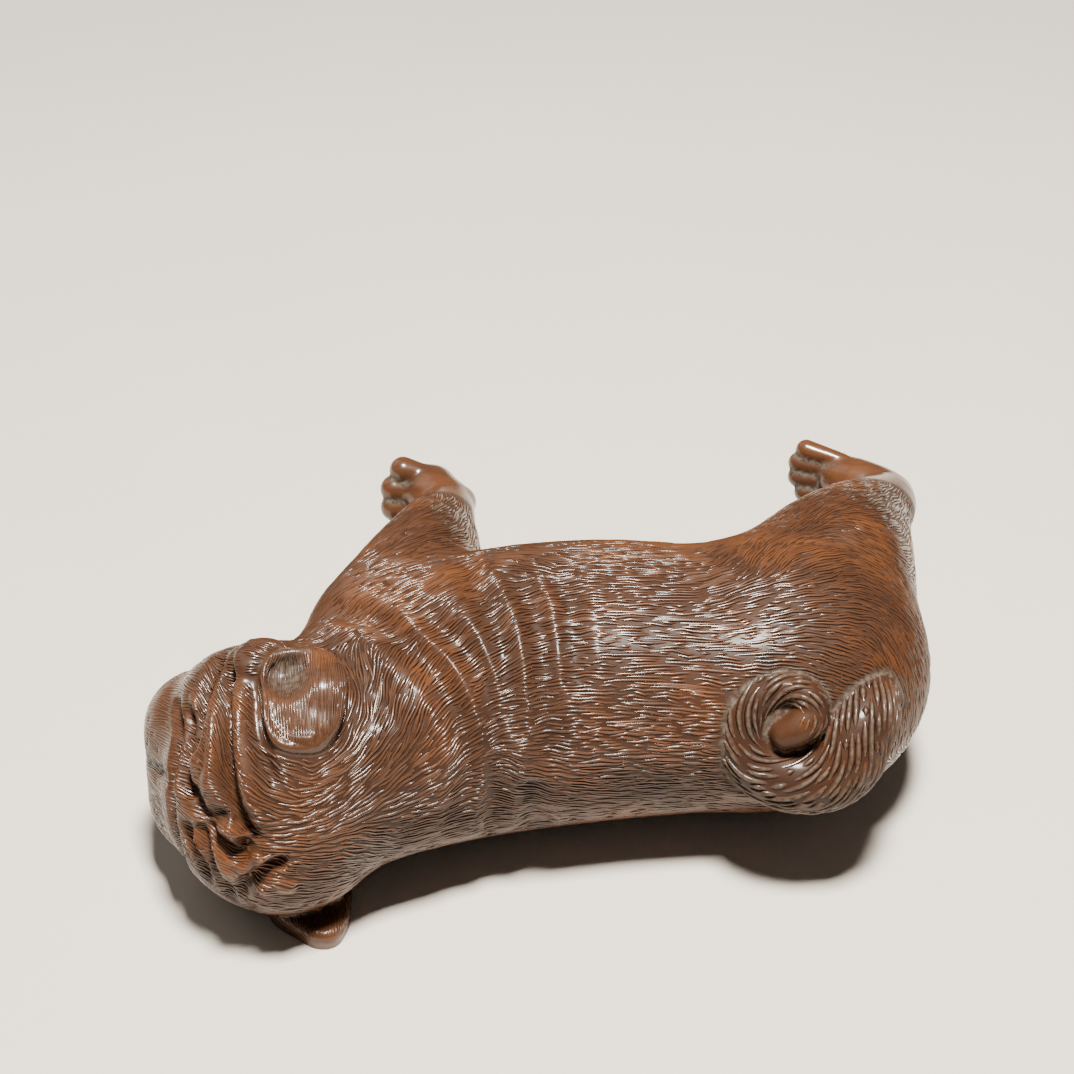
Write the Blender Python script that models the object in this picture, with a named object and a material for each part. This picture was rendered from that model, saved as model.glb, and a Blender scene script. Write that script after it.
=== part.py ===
"""A sleeping pug carved from one block of boxwood, a small figure for a tea tray.

The dog lies on its left side: head at -X, tail at +X, back towards -Y, legs towards +Y and the
table at Z = 0. The carving is one solid, made in a carver's order: rounded masses are fused into
a block, the block is worked down to one smooth form, the folds are cut into it, and the underside
is sawn flat so that it lies still.

Places and radii in the tables are millimetres on a dog that is LAID_OUT long. The finished dog
is DOG_LENGTH long, with everything in proportion.
"""

import functools
import math

import bmesh
import bpy
import numpy as np
from mathutils import Matrix

MM = 0.001
LAID_OUT = 81.297

# Driving sizes, in millimetres unless they say otherwise
DOG_LENGTH = 80.0
TRUNK_FLATTENING = 0.9  # side to side over back to belly
BODY_ROLL = 16.0  # degrees that the back is turned up from the table
HEAD_ROLL = 22.0  # degrees that the crown is turned up from the table
HEAD_NOD = 24.0  # degrees that the nose is turned to the chest
LEG_GIRTH = 1.0  # times every leg radius
TAIL_GIRTH = 1.0  # times every tail radius
TAIL_LEAN = 22.0  # degrees that the plane of the curl leans back
EAR_THICKNESS = 1.3
LEFT_EAR_THICKNESS = 2.0
FRONT_TOE_RADIUS = 1.55
HIND_TOE_RADIUS = 1.2
TOE_SPREAD = 1.4  # from toe to toe, over the toe's radius
LEFT_FRONT_TOE_SHARE = 0.85  # of the front toe radius, on the foot that lies under the other
OUTER_TOE_SET_BACK = 0.7  # over the toe's radius
TOE_TAPER = 0.8  # of the radius and of the spread, at the toe's root
FACE_FOLD_WIDTH = 1.8  # from the cut's line to where it fades
FACE_FOLD_DEPTH = 1.25
NECK_FOLD_WIDTH = 2.6
NECK_FOLD_DEPTH = 0.9
FOLD_FADE = 0.2  # share of a fold's line over which it fades at each end

RIGHT_FORELEG_FILLET = 3.0
RIGHT_HIND_LEG_FILLET = 4.0
LEFT_LEG_FILLET = 1.6
WRIST_FILLET = 1.0
HEAD_FILLET = 1.4  # radius where the head's masses flow into each other
NOSE_FILLET = 0.4
TOE_FILLET = 0.4
TAIL_FILLET = 0.5
EAR_FILLET = 0.3  # in the crease where an ear meets the head
EAR_EDGE = 0.9  # rounding of an ear's rim
EAR_CORNER = 0.8  # rounding of the left ear's outline
EAR_ROOT = 4.0  # how deep the right ear's flap may reach into the skull

BLOCK_VOXEL = 0.8
WORK_VOXEL = 0.45
REACH = 4.5  # how far beyond its own box a mass can still bend the form
LINE_STEPS = 4  # straight steps from one row of a table to the next
TRUNK_STEPS = 3  # balls of the rough block from one row of the trunk to the next
TOE_STEPS = 5
STEEPEST_TAPER = 0.9  # change of radius over length
SLOPE_STEP = 0.05
SLAB_STAND_OFF = 99.0  # farther inside than any point
FAR_AWAY = 1e9
SAW_TOLERANCE = 1e-6
MOST_TRIANGLES = 9300
WOOD_COLOUR = (0.155, 0.066, 0.036, 1.0)
WOOD_ROUGHNESS = 0.32

# Masses laid out along a line: each row is a place x, y, z and a radius
TRUNK = [
    (-20.0, 4.2, 12.2, 11.8),
    (-14.0, 8.6, 13.0, 13.8),
    (-6.0, 12.8, 13.2, 15.4),
    (5.0, 14.9, 13.2, 15.5),
    (15.0, 15.2, 13.2, 14.8),
    (22.0, 14.8, 13.2, 14.4),
    (25.4, 14.6, 13.4, 13.6),
]
RIGHT_FORELEG = [
    (-14.5, 19.0, 14.0, 9.6),
    (-12.6, 29.0, 15.2, 6.6),
    (-11.4, 37.0, 14.8, 4.4),
    (-10.5, 42.0, 14.4, 3.1),
    (-12.4, 45.4, 14.2, 3.3),
]
LEFT_FORELEG = [
    (-14.0, 18.0, 9.0, 9.0),
    (-12.0, 28.0, 5.6, 5.4),
    (-10.4, 35.0, 3.8, 4.0),
    (-9.6, 39.4, 2.9, 3.2),
    (-12.4, 41.6, 2.9, 2.9),
]
RIGHT_HIND_LEG = [
    (26.4, 18.0, 14.5, 12.4),
    (31.2, 29.0, 15.4, 8.8),
    (35.4, 38.0, 15.0, 5.4),
    (39.2, 44.4, 14.0, 3.2),
    (36.0, 47.6, 14.0, 2.9),
    (34.2, 48.7, 14.0, 2.4),
]
LEFT_HIND_LEG = [
    (27.0, 17.0, 10.0, 10.5),
    (30.4, 26.0, 6.0, 6.6),
    (34.4, 34.0, 4.0, 4.4),
    (37.6, 39.0, 3.0, 3.3),
    (33.8, 42.0, 2.9, 2.9),
    (31.6, 43.0, 2.9, 2.8),
]

WRIST_KNOB = [(-10.8, 43.4, 14.2, 2.4), (-8.7, 43.7, 14.3, 1.5)]

LEFT_FRONT_TOE_RADIUS = FRONT_TOE_RADIUS * LEFT_FRONT_TOE_SHARE

# Each foot: the middle of its toe tips, the way they point, the way across them, radius, length
FEET = [
    ((-16.5, 45.0, 13.8), (-1.0, 0.0, 0.0), (0.0, 0.37, 0.93), FRONT_TOE_RADIUS, 3.6),
    ((-14.8, 41.2, 3.8), (-1.0, 0.1, 0.0), (0.0, 0.37, 0.93), LEFT_FRONT_TOE_RADIUS, 3.4),
    ((29.8, 50.2, 14.0), (-1.0, 0.36, 0.0), (0.0, 0.34, 0.94), HIND_TOE_RADIUS, 5.0),
    ((29.2, 43.6, 3.4), (-1.0, 0.3, 0.0), (0.0, 0.34, 0.94), HIND_TOE_RADIUS, 4.6),
]
TOES = 4

# Masses of the head: a middle and half sizes, both forward, up to the crown and to the right,
# and the fillet
HEAD_CENTRE = (-25.2, 1.0, 12.8)
HEAD_MASSES = {
    "skull": ((0.0, 0.0, 0.0), (11.6, 11.9, 13.4), HEAD_FILLET),
    "right_flew": ((8.1, 0.4, 3.9), (6.2, 5.9, 6.0), HEAD_FILLET),
    "left_flew": ((8.0, 0.4, -2.6), (6.2, 5.8, 6.8), HEAD_FILLET),
    "chin": ((8.0, -5.0, 0.0), (5.0, 3.6, 5.0), HEAD_FILLET),
    "right_cheek": ((4.4, 1.0, 7.6), (5.0, 6.5, 5.0), HEAD_FILLET),
    "crown_bump": ((0.9, 2.4, 12.9), (2.6, 3.2, 1.6), HEAD_FILLET),
    "muzzle": ((7.9, 0.6, 0.7), (5.9, 5.9, 4.6), HEAD_FILLET),
    "nose": ((12.9, -0.4, 0.8), (2.0, 1.9, 2.8), NOSE_FILLET),
}

# The right ear lies on the skull: its middle in the head's frame, half sizes across and along,
# and how far it turns from the crown's direction
RIGHT_EAR_MIDDLE = (-5.5, 5.0, 11.0)
RIGHT_EAR_HALF_SIZES = (3.9, 5.5)
RIGHT_EAR_TURN = 5.0
# Its hollow, its full lobe and a dimple: across, along, radius and height
RIGHT_EAR_RELIEF = [(-1.4, 2.2, 3.0, -1.0), (1.9, 0.6, 2.8, 0.5), (0.6, 3.0, 1.0, -0.4)]
EAR_BOXINESS = 2.6

# The left ear's outline where it lies on the table, in the row's X and Y, anticlockwise
LEFT_EAR = [
    (-27.2, -4.4),
    (-26.4, -6.5),
    (-21.7, -9.9),
    (-19.8, -9.6),
    (-18.7, -7.4),
    (-18.8, -2.0),
    (-25.2, -2.0),
]

# The tail in its own plane: along +X, up the rump and out from it, and a radius
TAIL_CENTRE = (24.0, 2.2, 16.0)
TAIL = [
    (8.5, 3.6, -2.8, 2.8),
    (7.7, 2.6, -1.2, 3.2),
    (6.8, 1.2, -0.2, 3.4),
    (5.6, -1.2, 0.1, 3.7),
    (3.4, -2.9, 0.2, 3.6),
    (0.3, -3.2, 0.4, 3.2),
    (-2.9, -1.9, 0.4, 2.7),
    (-4.3, 0.7, 0.4, 2.1),
    (-4.1, 3.3, 0.5, 1.9),
    (-2.6, 5.2, 0.5, 1.6),
    (-0.4, 6.1, 0.7, 1.3),
    (1.5, 5.5, 1.1, 1.5),
    (2.1, 3.9, 1.6, 1.6),
    (0.9, 2.6, 1.9, 1.7),
    (-0.5, 1.8, 1.9, 1.4),
]

# Cuts in the face: a share of the full depth, then places forward, up and to the right of the
# head's middle. Each cut runs on the surface.
FACE_FOLDS = {
    "before_nose_roll": (
        1.0,
        [
            (7.6, 4.2, 9.3), (7.4, 5.7, 8.2), (6.3, 8.3, 6.3), (6.2, 9.5, 3.9),
            (6.2, 10.0, 1.4), (6.3, 10.0, -1.2), (6.1, 9.5, -3.8), (6.5, 7.0, -7.0),
            (6.8, 3.0, -9.4), (6.4, -0.5, -10.4),
        ],
    ),
    "closed_eye": (
        1.2,
        [
            (5.8, 6.2, 9.3), (5.0, 8.1, 8.0), (4.6, 9.7, 5.6), (4.3, 10.7, 3.4), (3.3, 11.3, 2.2),
            (1.5, 11.6, 2.4),
        ],
    ),
    "second_roll": (
        0.9,
        [
            (4.8, 1.2, 12.0), (4.4, 4.0, 11.6), (4.0, 6.9, 9.9), (3.5, 8.3, 8.7), (3.4, 9.6, 6.8),
            (3.3, 10.5, 5.1),
        ],
    ),
    "brow": (
        1.2,
        [
            (2.9, 1.0, 13.4), (2.5, 4.3, 13.0), (1.9, 6.6, 11.0), (0.9, 8.3, 9.5),
            (-0.3, 10.3, 6.7), (-1.2, 11.4, 3.6), (-2.3, 11.6, 0.7), (-3.6, 11.3, -1.0),
            (-4.8, 10.7, -1.6),
        ],
    ),
    "behind_brow": (
        0.6,
        [
            (-0.8, 5.1, 12.7), (-2.2, 7.8, 9.8), (-3.2, 9.1, 7.9), (-4.5, 9.8, 5.4),
            (-6.1, 9.7, 3.4),
        ],
    ),
    "between_eyes": (
        0.8,
        [
            (2.9, 11.4, 2.4), (2.5, 11.5, 1.7), (1.5, 11.8, 0.4), (0.1, 11.9, 0.6),
            (-1.7, 11.7, 1.4),
        ],
    ),
    "frown": (
        1.0,
        [
            (2.1, 11.7, 0.6), (0.9, 11.9, -0.9), (-0.1, 11.8, -2.0), (-1.8, 11.4, -3.3),
            (-2.6, 11.4, -2.2), (-4.0, 11.1, -1.2),
        ],
    ),
    "left_nose_roll": (
        1.0,
        [
            (2.7, 11.6, -0.2), (1.9, 11.7, -1.4), (1.5, 11.5, -3.0), (1.4, 11.1, -4.6),
            (1.1, 10.5, -6.2), (0.8, 9.4, -8.0), (1.2, 6.8, -10.4),
        ],
    ),
    "left_eye": (
        0.9,
        [
            (3.7, 11.3, -0.3), (3.7, 11.1, -2.1), (3.2, 11.0, -3.8), (2.6, 10.6, -5.4),
            (2.6, 9.0, -7.8),
        ],
    ),
    "left_cheek": (
        0.9,
        [
            (0.2, 8.6, -9.2), (-1.6, 10.1, -6.9), (-3.1, 10.5, -5.4), (-4.3, 10.3, -4.5),
            (-5.6, 9.8, -3.9), (-6.3, 9.3, -4.0),
        ],
    ),
    "mouth": (
        0.8,
        [
            (6.4, -3.4, 9.4), (10.8, -3.8, 5.4), (12.6, -2.4, 0.6), (10.8, -3.8, -5.0),
            (6.4, -3.4, -9.2),
        ],
    ),
    "bridge": (
        0.35,
        [(11.9, 2.4, 1.2), (10.5, 5.7, 1.4), (8.3, 8.2, 1.9), (6.7, 9.6, 1.9)],
    ),
    "round_nose": (
        0.8,
        [
            (13.0, -2.8, 1.4), (13.0, -2.1, 3.3), (12.8, -0.2, 4.5), (12.4, 1.6, 3.2),
            (12.3, 2.2, 0.8), (12.4, 1.6, -1.6), (12.8, -0.2, -2.9), (13.0, -2.1, -1.7),
            (13.0, -2.8, 0.2),
        ],
    ),
    "lip_split": (
        0.7,
        [(13.2, -1.8, 0.8), (13.0, -3.0, 0.7), (12.4, -4.4, 0.6), (11.2, -5.8, 0.6)],
    ),
}

# Cuts round the neck and shoulders, with places in the row's own frame
NECK_FOLDS = {
    "nape": (
        1.0,
        [
            (-23.6, 18.4, 17.8), (-21.6, 15.7, 21.5), (-19.3, 13.2, 23.7), (-16.9, 10.6, 25.3),
            (-14.6, 8.2, 25.9), (-12.3, 5.5, 25.7), (-9.9, 2.9, 24.7), (-8.2, 0.5, 22.9),
            (-6.7, -1.7, 19.8), (-6.9, -3.2, 16.1), (-7.5, -3.5, 12.5), (-9.0, -2.6, 6.0),
        ],
    ),
    "shoulder": (
        1.0,
        [
            (-13.0, 12.0, 26.4), (-11.2, 9.6, 26.6), (-9.4, 7.5, 26.5), (-6.8, 4.8, 25.6),
            (-4.9, 1.8, 23.4), (-4.0, -0.5, 20.6), (-3.7, -1.8, 17.8), (-4.0, -2.5, 14.4),
            (-4.2, -2.2, 10.7), (-4.8, 0.4, 4.6),
        ],
    ),
    "armpit": (
        0.9,
        [
            (-7.9, 20.6, 24.8), (-6.3, 13.6, 27.2), (-4.6, 9.1, 27.0), (-3.6, 5.1, 25.5),
            (-3.0, 1.8, 23.0), (-2.4, -0.2, 20.4), (-2.0, -1.4, 17.0),
        ],
    ),
    "first_rib_fold": (
        0.9,
        [
            (-3.4, 18.6, 26.4), (-1.6, 12.2, 27.4), (-0.7, 9.9, 27.0), (0.1, 5.4, 25.3),
            (0.4, 2.0, 22.6), (0.7, -0.8, 18.0), (0.6, -1.6, 14.0),
        ],
    ),
    "second_rib_fold": (
        0.6,
        [
            (0.6, 18.6, 26.8), (2.3, 12.0, 27.3), (2.8, 9.3, 26.8), (3.2, 4.5, 24.4),
            (3.4, 1.6, 21.6),
        ],
    ),
    "low_roll": (
        0.7,
        [
            (-1.4, -2.0, 15.6), (-1.0, -1.8, 13.8), (-0.5, -1.4, 11.3), (-0.3, -0.5, 8.0),
            (-0.4, 1.4, 4.4),
        ],
    ),
    "behind_ear": (
        0.8,
        [
            (-20.4, 8.6, 23.6), (-18.8, 6.2, 24.7), (-17.4, 4.2, 24.7), (-15.9, 2.0, 24.2),
            (-15.1, 0.0, 23.2), (-15.2, -2.4, 21.4),
        ],
    ),
}


def axes_of(lean):
    """A level X axis, an axis up a plane that leans back by the lean, and the plane's normal."""
    angle = math.radians(lean)
    return np.array(
        [
            [1.0, 0.0, 0.0],
            [0.0, math.sin(angle), math.cos(angle)],
            [0.0, -math.cos(angle), math.sin(angle)],
        ]
    )


def head_axes():
    to_tail, right, up = axes_of(HEAD_ROLL)
    nod = math.radians(HEAD_NOD)
    forward = -to_tail * math.cos(nod) - up * math.sin(nod)
    crown = up * math.cos(nod) - to_tail * math.sin(nod)
    return np.array([forward, crown, right])


def from_head(place):
    """A place, or rows of them, given forward, up and to the right of the head's middle."""
    return np.asarray(HEAD_CENTRE) + np.asarray(place) @ head_axes()


def smooth_path(stations, steps_each=LINE_STEPS):
    """A smooth curve through the stations, whatever goes with each of them included."""
    stations = np.asarray(stations, float)
    ends = np.vstack([2 * stations[0] - stations[1], stations, 2 * stations[-1] - stations[-2]])
    rows = []
    for start in range(len(stations) - 1):
        before, here, there, after = ends[start : start + 4]
        for t in np.arange(steps_each) / steps_each:
            linear = (there - before) * t
            square = (2 * before - 5 * here + 4 * there - after) * t**2
            cube = (3 * here - before - 3 * there + after) * t**3
            rows.append(0.5 * (2 * here + linear + square + cube))
    rows.append(stations[-1])
    return np.array(rows)


# The masses, each with the fillet that joins it to what came before


@functools.cache
def round_masses():
    """Every limb, toe and turn of the tail as a path of balls, with its fillet."""
    masses = []
    for stations, fillet in (
        (RIGHT_FORELEG, RIGHT_FORELEG_FILLET),
        (LEFT_FORELEG, LEFT_LEG_FILLET),
        (RIGHT_HIND_LEG, RIGHT_HIND_LEG_FILLET),
        (LEFT_HIND_LEG, LEFT_LEG_FILLET),
        (WRIST_KNOB, WRIST_FILLET),
    ):
        path = smooth_path(stations)
        path[:, 3] *= LEG_GIRTH
        masses.append((path, fillet))
    for foot in FEET:
        masses.extend((toe, TOE_FILLET) for toe in toes(*foot))
    masses.append((tail_path(), TAIL_FILLET))
    return masses


def toes(middle_tip, pointing, across, radius, length):
    """Toes side by side as rolls that run back over the foot, the outer two set back."""
    ahead = np.asarray(pointing) / np.linalg.norm(pointing)
    pitch = np.asarray(across) * radius * TOE_SPREAD
    middle = (TOES - 1) / 2
    for number in range(TOES):
        set_back = OUTER_TOE_SET_BACK * radius * (abs(number - middle) > 1)
        tip = np.asarray(middle_tip) + pitch * (number - middle) - ahead * set_back
        root = np.asarray(middle_tip) + pitch * (number - middle) * TOE_TAPER - ahead * length
        yield smooth_path([(*root, radius * TOE_TAPER), (*tip, radius)], TOE_STEPS)


def tail_path():
    path = smooth_path(TAIL)
    places = np.asarray(TAIL_CENTRE) + path[:, :3] @ axes_of(TAIL_LEAN)
    return np.hstack([places, path[:, 3:] * TAIL_GIRTH])


@functools.cache
def flat_masses():
    """The head's rounded masses: a middle, half sizes, axes and fillet."""
    return [
        (from_head(middle), np.array(half_sizes), head_axes(), fillet)
        for middle, half_sizes, fillet in HEAD_MASSES.values()
    ]


def right_ear_axes():
    """Across the ear, along it and out of the skull."""
    axes = head_axes()
    half_sizes = np.asarray(HEAD_MASSES["skull"][1])
    outward = (np.asarray(RIGHT_EAR_MIDDLE) / half_sizes**2) @ axes
    outward /= np.linalg.norm(outward)
    level = np.cross(outward, (1.0, 0.0, 0.0))
    level /= np.linalg.norm(level)
    turn = math.radians(RIGHT_EAR_TURN)
    along = level * math.cos(turn) + np.cross(outward, level) * math.sin(turn)
    return np.array([np.cross(along, outward), along, outward])


# Distances, negative inside


def soft_union(first, second, fillet):
    share = np.clip(0.5 + 0.5 * (second - first) / fillet, 0.0, 1.0)
    return second + (first - second) * share - fillet * share * (1.0 - share)


def soft_overlap(first, second, fillet):
    return -soft_union(-first, -second, fillet)


def to_ball(points, middle, half_sizes, axes):
    """Distance to a ball drawn out along its own axes, close enough near its surface."""
    local = (points - middle) @ axes.T
    near = np.linalg.norm(local / half_sizes, axis=1)
    steep = np.linalg.norm(local / half_sizes**2, axis=1)
    return near * (near - 1.0) / np.maximum(steep, 1e-9)


def to_round_mass(points, path):
    """Distance to a path of balls, with cones between them."""
    nearest = np.full(len(points), FAR_AWAY)
    for start, end in zip(path[:-1], path[1:]):
        along = end[:3] - start[:3]
        length = np.linalg.norm(along)
        along = along / length
        taper = min(max((end[3] - start[3]) / length, -STEEPEST_TAPER), STEEPEST_TAPER)
        local = points - start[:3]
        reach = local @ along
        aside = np.linalg.norm(local - reach[:, None] * along, axis=1)
        met = np.clip(reach + taper * aside / math.sqrt(1.0 - taper**2), 0.0, length)
        nearest = np.minimum(nearest, np.hypot(aside, reach - met) - start[3] - taper * met)
    return nearest


def to_trunk(points):
    """Distance to the trunk, worked out where its flattened section is round again."""
    axes = axes_of(BODY_ROLL)
    to_round = np.array([1.0, 1.0 / TRUNK_FLATTENING, 1.0])
    path = smooth_path(TRUNK)
    path = np.hstack([path[:, :3] @ axes.T * to_round, path[:, 3:]])
    return to_round_mass(points @ axes.T * to_round, path) * TRUNK_FLATTENING


def to_right_ear(points, skull):
    """Distance to the ear as a flap of even thickness on the skull, with its relief."""
    local = (points - from_head(RIGHT_EAR_MIDDLE)) @ right_ear_axes().T
    shares = np.abs(local[:, :2]) / RIGHT_EAR_HALF_SIZES
    rim = np.sum(shares**EAR_BOXINESS, axis=1) ** (1.0 / EAR_BOXINESS)
    side = (rim - 1.0) * min(RIGHT_EAR_HALF_SIZES)
    height = np.full(len(points), EAR_THICKNESS)
    for across, along, radius, rise in RIGHT_EAR_RELIEF:
        gap = np.hypot(local[:, 0] - across, local[:, 1] - along)
        height += rise * smooth_share(1.0 - gap / radius)
    flap = soft_overlap(side, skull - height, EAR_EDGE)
    return np.maximum(flap, -local[:, 2] - EAR_ROOT)


def to_left_ear(points):
    """Distance to the ear that lies flat on the table."""
    outline = np.asarray(LEFT_EAR)
    side = np.full(len(points), -SLAB_STAND_OFF)
    for start, end in zip(outline, np.roll(outline, -1, axis=0)):
        along = (end - start) / np.linalg.norm(end - start)
        outward = np.array([along[1], -along[0]])
        side = soft_overlap(side, (points[:, :2] - start) @ outward, EAR_CORNER)
    return soft_overlap(side, np.abs(points[:, 2]) - LEFT_EAR_THICKNESS, EAR_EDGE)


def smooth_share(share):
    share = np.clip(share, 0.0, 1.0)
    return share**2 * (3.0 - 2.0 * share)


def around(points, low, high, reach):
    """Which points are inside a box widened by the reach."""
    return np.all((points > low - reach) & (points < high + reach), axis=1)


def form(points):
    """Distance to the dog's smooth form, before any fold is cut, for points near it."""
    dog = to_trunk(points)
    for middle, half_sizes, axes, fillet in flat_masses():
        size = max(half_sizes)
        near = around(points, middle - size, middle + size, REACH)
        ball = to_ball(points[near], middle, half_sizes, axes)
        dog[near] = soft_union(dog[near], ball, fillet)
    middle = from_head(RIGHT_EAR_MIDDLE)
    near = around(points, middle, middle, max(RIGHT_EAR_HALF_SIZES) + REACH)
    dog[near] = soft_union(dog[near], to_right_ear(points[near], dog[near]), EAR_FILLET)
    low, high = np.min(LEFT_EAR, axis=0), np.max(LEFT_EAR, axis=0)
    near = around(points[:, :2], low, high, REACH)
    dog[near] = soft_union(dog[near], to_left_ear(points[near]), EAR_FILLET)
    for path, fillet in round_masses():
        places, girth = path[:, :3], path[:, 3].max()
        near = around(points, places.min(axis=0), places.max(axis=0), girth + REACH)
        dog[near] = soft_union(dog[near], to_round_mass(points[near], path), fillet)
    return dog


def slope(points):
    """The form's outward direction at each point."""
    towards = np.zeros_like(points)
    for axis in range(3):
        offset = np.zeros(3)
        offset[axis] = SLOPE_STEP
        towards[:, axis] = form(points + offset) - form(points - offset)
    return towards / np.maximum(np.linalg.norm(towards, axis=1, keepdims=True), 1e-9)


def onto_form(points, passes=3):
    for _ in range(passes):
        points = points - slope(points) * form(points)[:, None]
    return points


# The folds


def closeness(points, line, width):
    """1 on the line, 0 at its width and beyond, fading towards the line's two ends."""
    nearest = np.full(len(points), FAR_AWAY)
    place = np.zeros(len(points))
    count = len(line) - 1
    for number, (start, end) in enumerate(zip(line[:-1], line[1:])):
        along = end - start
        share = np.clip((points - start) @ along / (along @ along), 0.0, 1.0)
        gap = np.linalg.norm(points - start - share[:, None] * along, axis=1)
        closer = gap < nearest
        nearest = np.where(closer, gap, nearest)
        place = np.where(closer, (number + share) / count, place)
    fade = smooth_share(np.minimum(place, 1.0 - place) / FOLD_FADE)
    return smooth_share(1.0 - nearest / width) * fade


def fold_depth(points):
    """How deep the folds cut below the form at each point."""
    cuts = [
        (from_head(smooth_path(stations)), share * FACE_FOLD_DEPTH, FACE_FOLD_WIDTH)
        for share, stations in FACE_FOLDS.values()
    ]
    cuts += [
        (smooth_path(stations), share * NECK_FOLD_DEPTH, NECK_FOLD_WIDTH)
        for share, stations in NECK_FOLDS.values()
    ]
    depth = np.zeros(len(points))
    ends = np.cumsum([len(places) for places, _, _ in cuts])[:-1]
    lines = np.split(onto_form(np.vstack([places for places, _, _ in cuts])), ends)
    for line, (_, full_depth, width) in zip(lines, cuts):
        near = around(points, line.min(axis=0), line.max(axis=0), width)
        cut = full_depth * closeness(points[near], line, width)
        depth[near] = np.maximum(depth[near], cut)
    return depth


# The block and the work on it


def add_ball(block, middle, half_sizes, axes):
    place = np.eye(4)
    place[:3, :3] = axes.T * half_sizes
    place[:3, 3] = middle
    bmesh.ops.create_icosphere(block, subdivisions=2, radius=1.0, matrix=Matrix(place))


def add_slab(block, outline, half_thickness):
    """A flat slab about Z = 0, from its outline seen from above."""
    low = [block.verts.new((*corner, -half_thickness)) for corner in outline]
    high = [block.verts.new((*corner, half_thickness)) for corner in outline]
    block.faces.new(low[::-1])
    block.faces.new(high)
    for here in range(len(outline)):
        there = (here + 1) % len(outline)
        block.faces.new((low[here], low[there], high[there], high[here]))


def rough_block():
    """Balls along every mass, as one mesh of overlapping shells."""
    block = bmesh.new()
    level = np.eye(3)
    axes = axes_of(BODY_ROLL)
    for row in smooth_path(TRUNK, TRUNK_STEPS):
        add_ball(block, row[:3], row[3] * np.array([1.0, TRUNK_FLATTENING, 1.0]), axes)
    for middle, half_sizes, turn, _ in flat_masses():
        add_ball(block, middle, half_sizes, turn)
    across, along = RIGHT_EAR_HALF_SIZES
    ear_sizes = np.array([across, along, 2.0 * EAR_THICKNESS])
    add_ball(block, from_head(RIGHT_EAR_MIDDLE), ear_sizes, right_ear_axes())
    add_slab(block, LEFT_EAR, LEFT_EAR_THICKNESS)
    for path, _ in round_masses():
        for row in path:
            add_ball(block, row[:3], row[3], level)
    mesh = bpy.data.meshes.new("carved_dog")
    block.to_mesh(mesh)
    block.free()
    return mesh


def coordinates(mesh):
    flat = np.empty(len(mesh.vertices) * 3)
    mesh.vertices.foreach_get("co", flat)
    return flat.reshape(-1, 3)


def move_to(mesh, points):
    mesh.vertices.foreach_set("co", points.ravel())
    mesh.update()


def apply_modifiers(dog):
    graph = bpy.context.evaluated_depsgraph_get()
    worked = bpy.data.meshes.new_from_object(dog.evaluated_get(graph))
    dog.modifiers.clear()
    dog.data = worked


def remesh(dog, voxel):
    modifier = dog.modifiers.new("one_skin", "REMESH")
    modifier.mode = "VOXEL"
    modifier.voxel_size = voxel
    apply_modifiers(dog)


def wood():
    material = bpy.data.materials.new("stained_boxwood")
    material.use_nodes = True
    shader = material.node_tree.nodes["Principled BSDF"]
    shader.inputs["Base Color"].default_value = WOOD_COLOUR
    shader.inputs["Roughness"].default_value = WOOD_ROUGHNESS
    shader.inputs["Metallic"].default_value = 0.0
    return material


def saw_flat(mesh):
    """Cuts the dog level with the table and closes the cut."""
    cut = bmesh.new()
    cut.from_mesh(mesh)
    everything = cut.verts[:] + cut.edges[:] + cut.faces[:]
    bmesh.ops.bisect_plane(
        cut,
        geom=everything,
        dist=SAW_TOLERANCE,
        plane_co=(0, 0, 0),
        plane_no=(0, 0, 1),
        clear_inner=True,
    )
    rims = [edge for edge in cut.edges if edge.is_boundary]
    bmesh.ops.holes_fill(cut, edges=rims, sides=0)
    bmesh.ops.triangulate(cut, faces=cut.faces[:])
    bmesh.ops.recalc_face_normals(cut, faces=cut.faces[:])
    cut.to_mesh(mesh)
    cut.free()


def stand_on_origin(mesh):
    """Scales the dog to its length, and sets the middle of its underside box on the origin."""
    points = coordinates(mesh)
    middle = (points.min(axis=0) + points.max(axis=0)) / 2
    middle[2] = 0.0
    move_to(mesh, (points - middle) * (DOG_LENGTH / LAID_OUT * MM))


def carve_dog():
    dog = bpy.data.objects.new("carved_dog", rough_block())
    bpy.context.scene.collection.objects.link(dog)
    remesh(dog, BLOCK_VOXEL)
    move_to(dog.data, onto_form(coordinates(dog.data), passes=4))
    remesh(dog, WORK_VOXEL)
    points = onto_form(coordinates(dog.data), passes=2)
    points = points - slope(points) * fold_depth(points)[:, None]
    move_to(dog.data, points)
    thin = dog.modifiers.new("fewer_faces", "DECIMATE")
    thin.ratio = MOST_TRIANGLES / (2 * len(dog.data.polygons))
    apply_modifiers(dog)
    saw_flat(dog.data)
    stand_on_origin(dog.data)
    dog.data.materials.append(wood())
    dog.data.shade_smooth()
    return dog


def main():
    for thing in list(bpy.data.objects):
        bpy.data.objects.remove(thing)
    carve_dog()


if __name__ == "__main__":
    main()
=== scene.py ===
"""The finished look of a sleeping pug carved from boxwood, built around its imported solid.

Tables of places are millimetres on a dog that is LAID_OUT long, as in the source of the solid.
"""

import functools
import math
import random
from collections import deque

import bmesh
import bpy
import numpy as np
from bpy.props import FloatProperty, FloatVectorProperty, IntProperty, PointerProperty
from mathutils import Matrix, Vector
from mathutils.bvhtree import BVHTree


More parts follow.
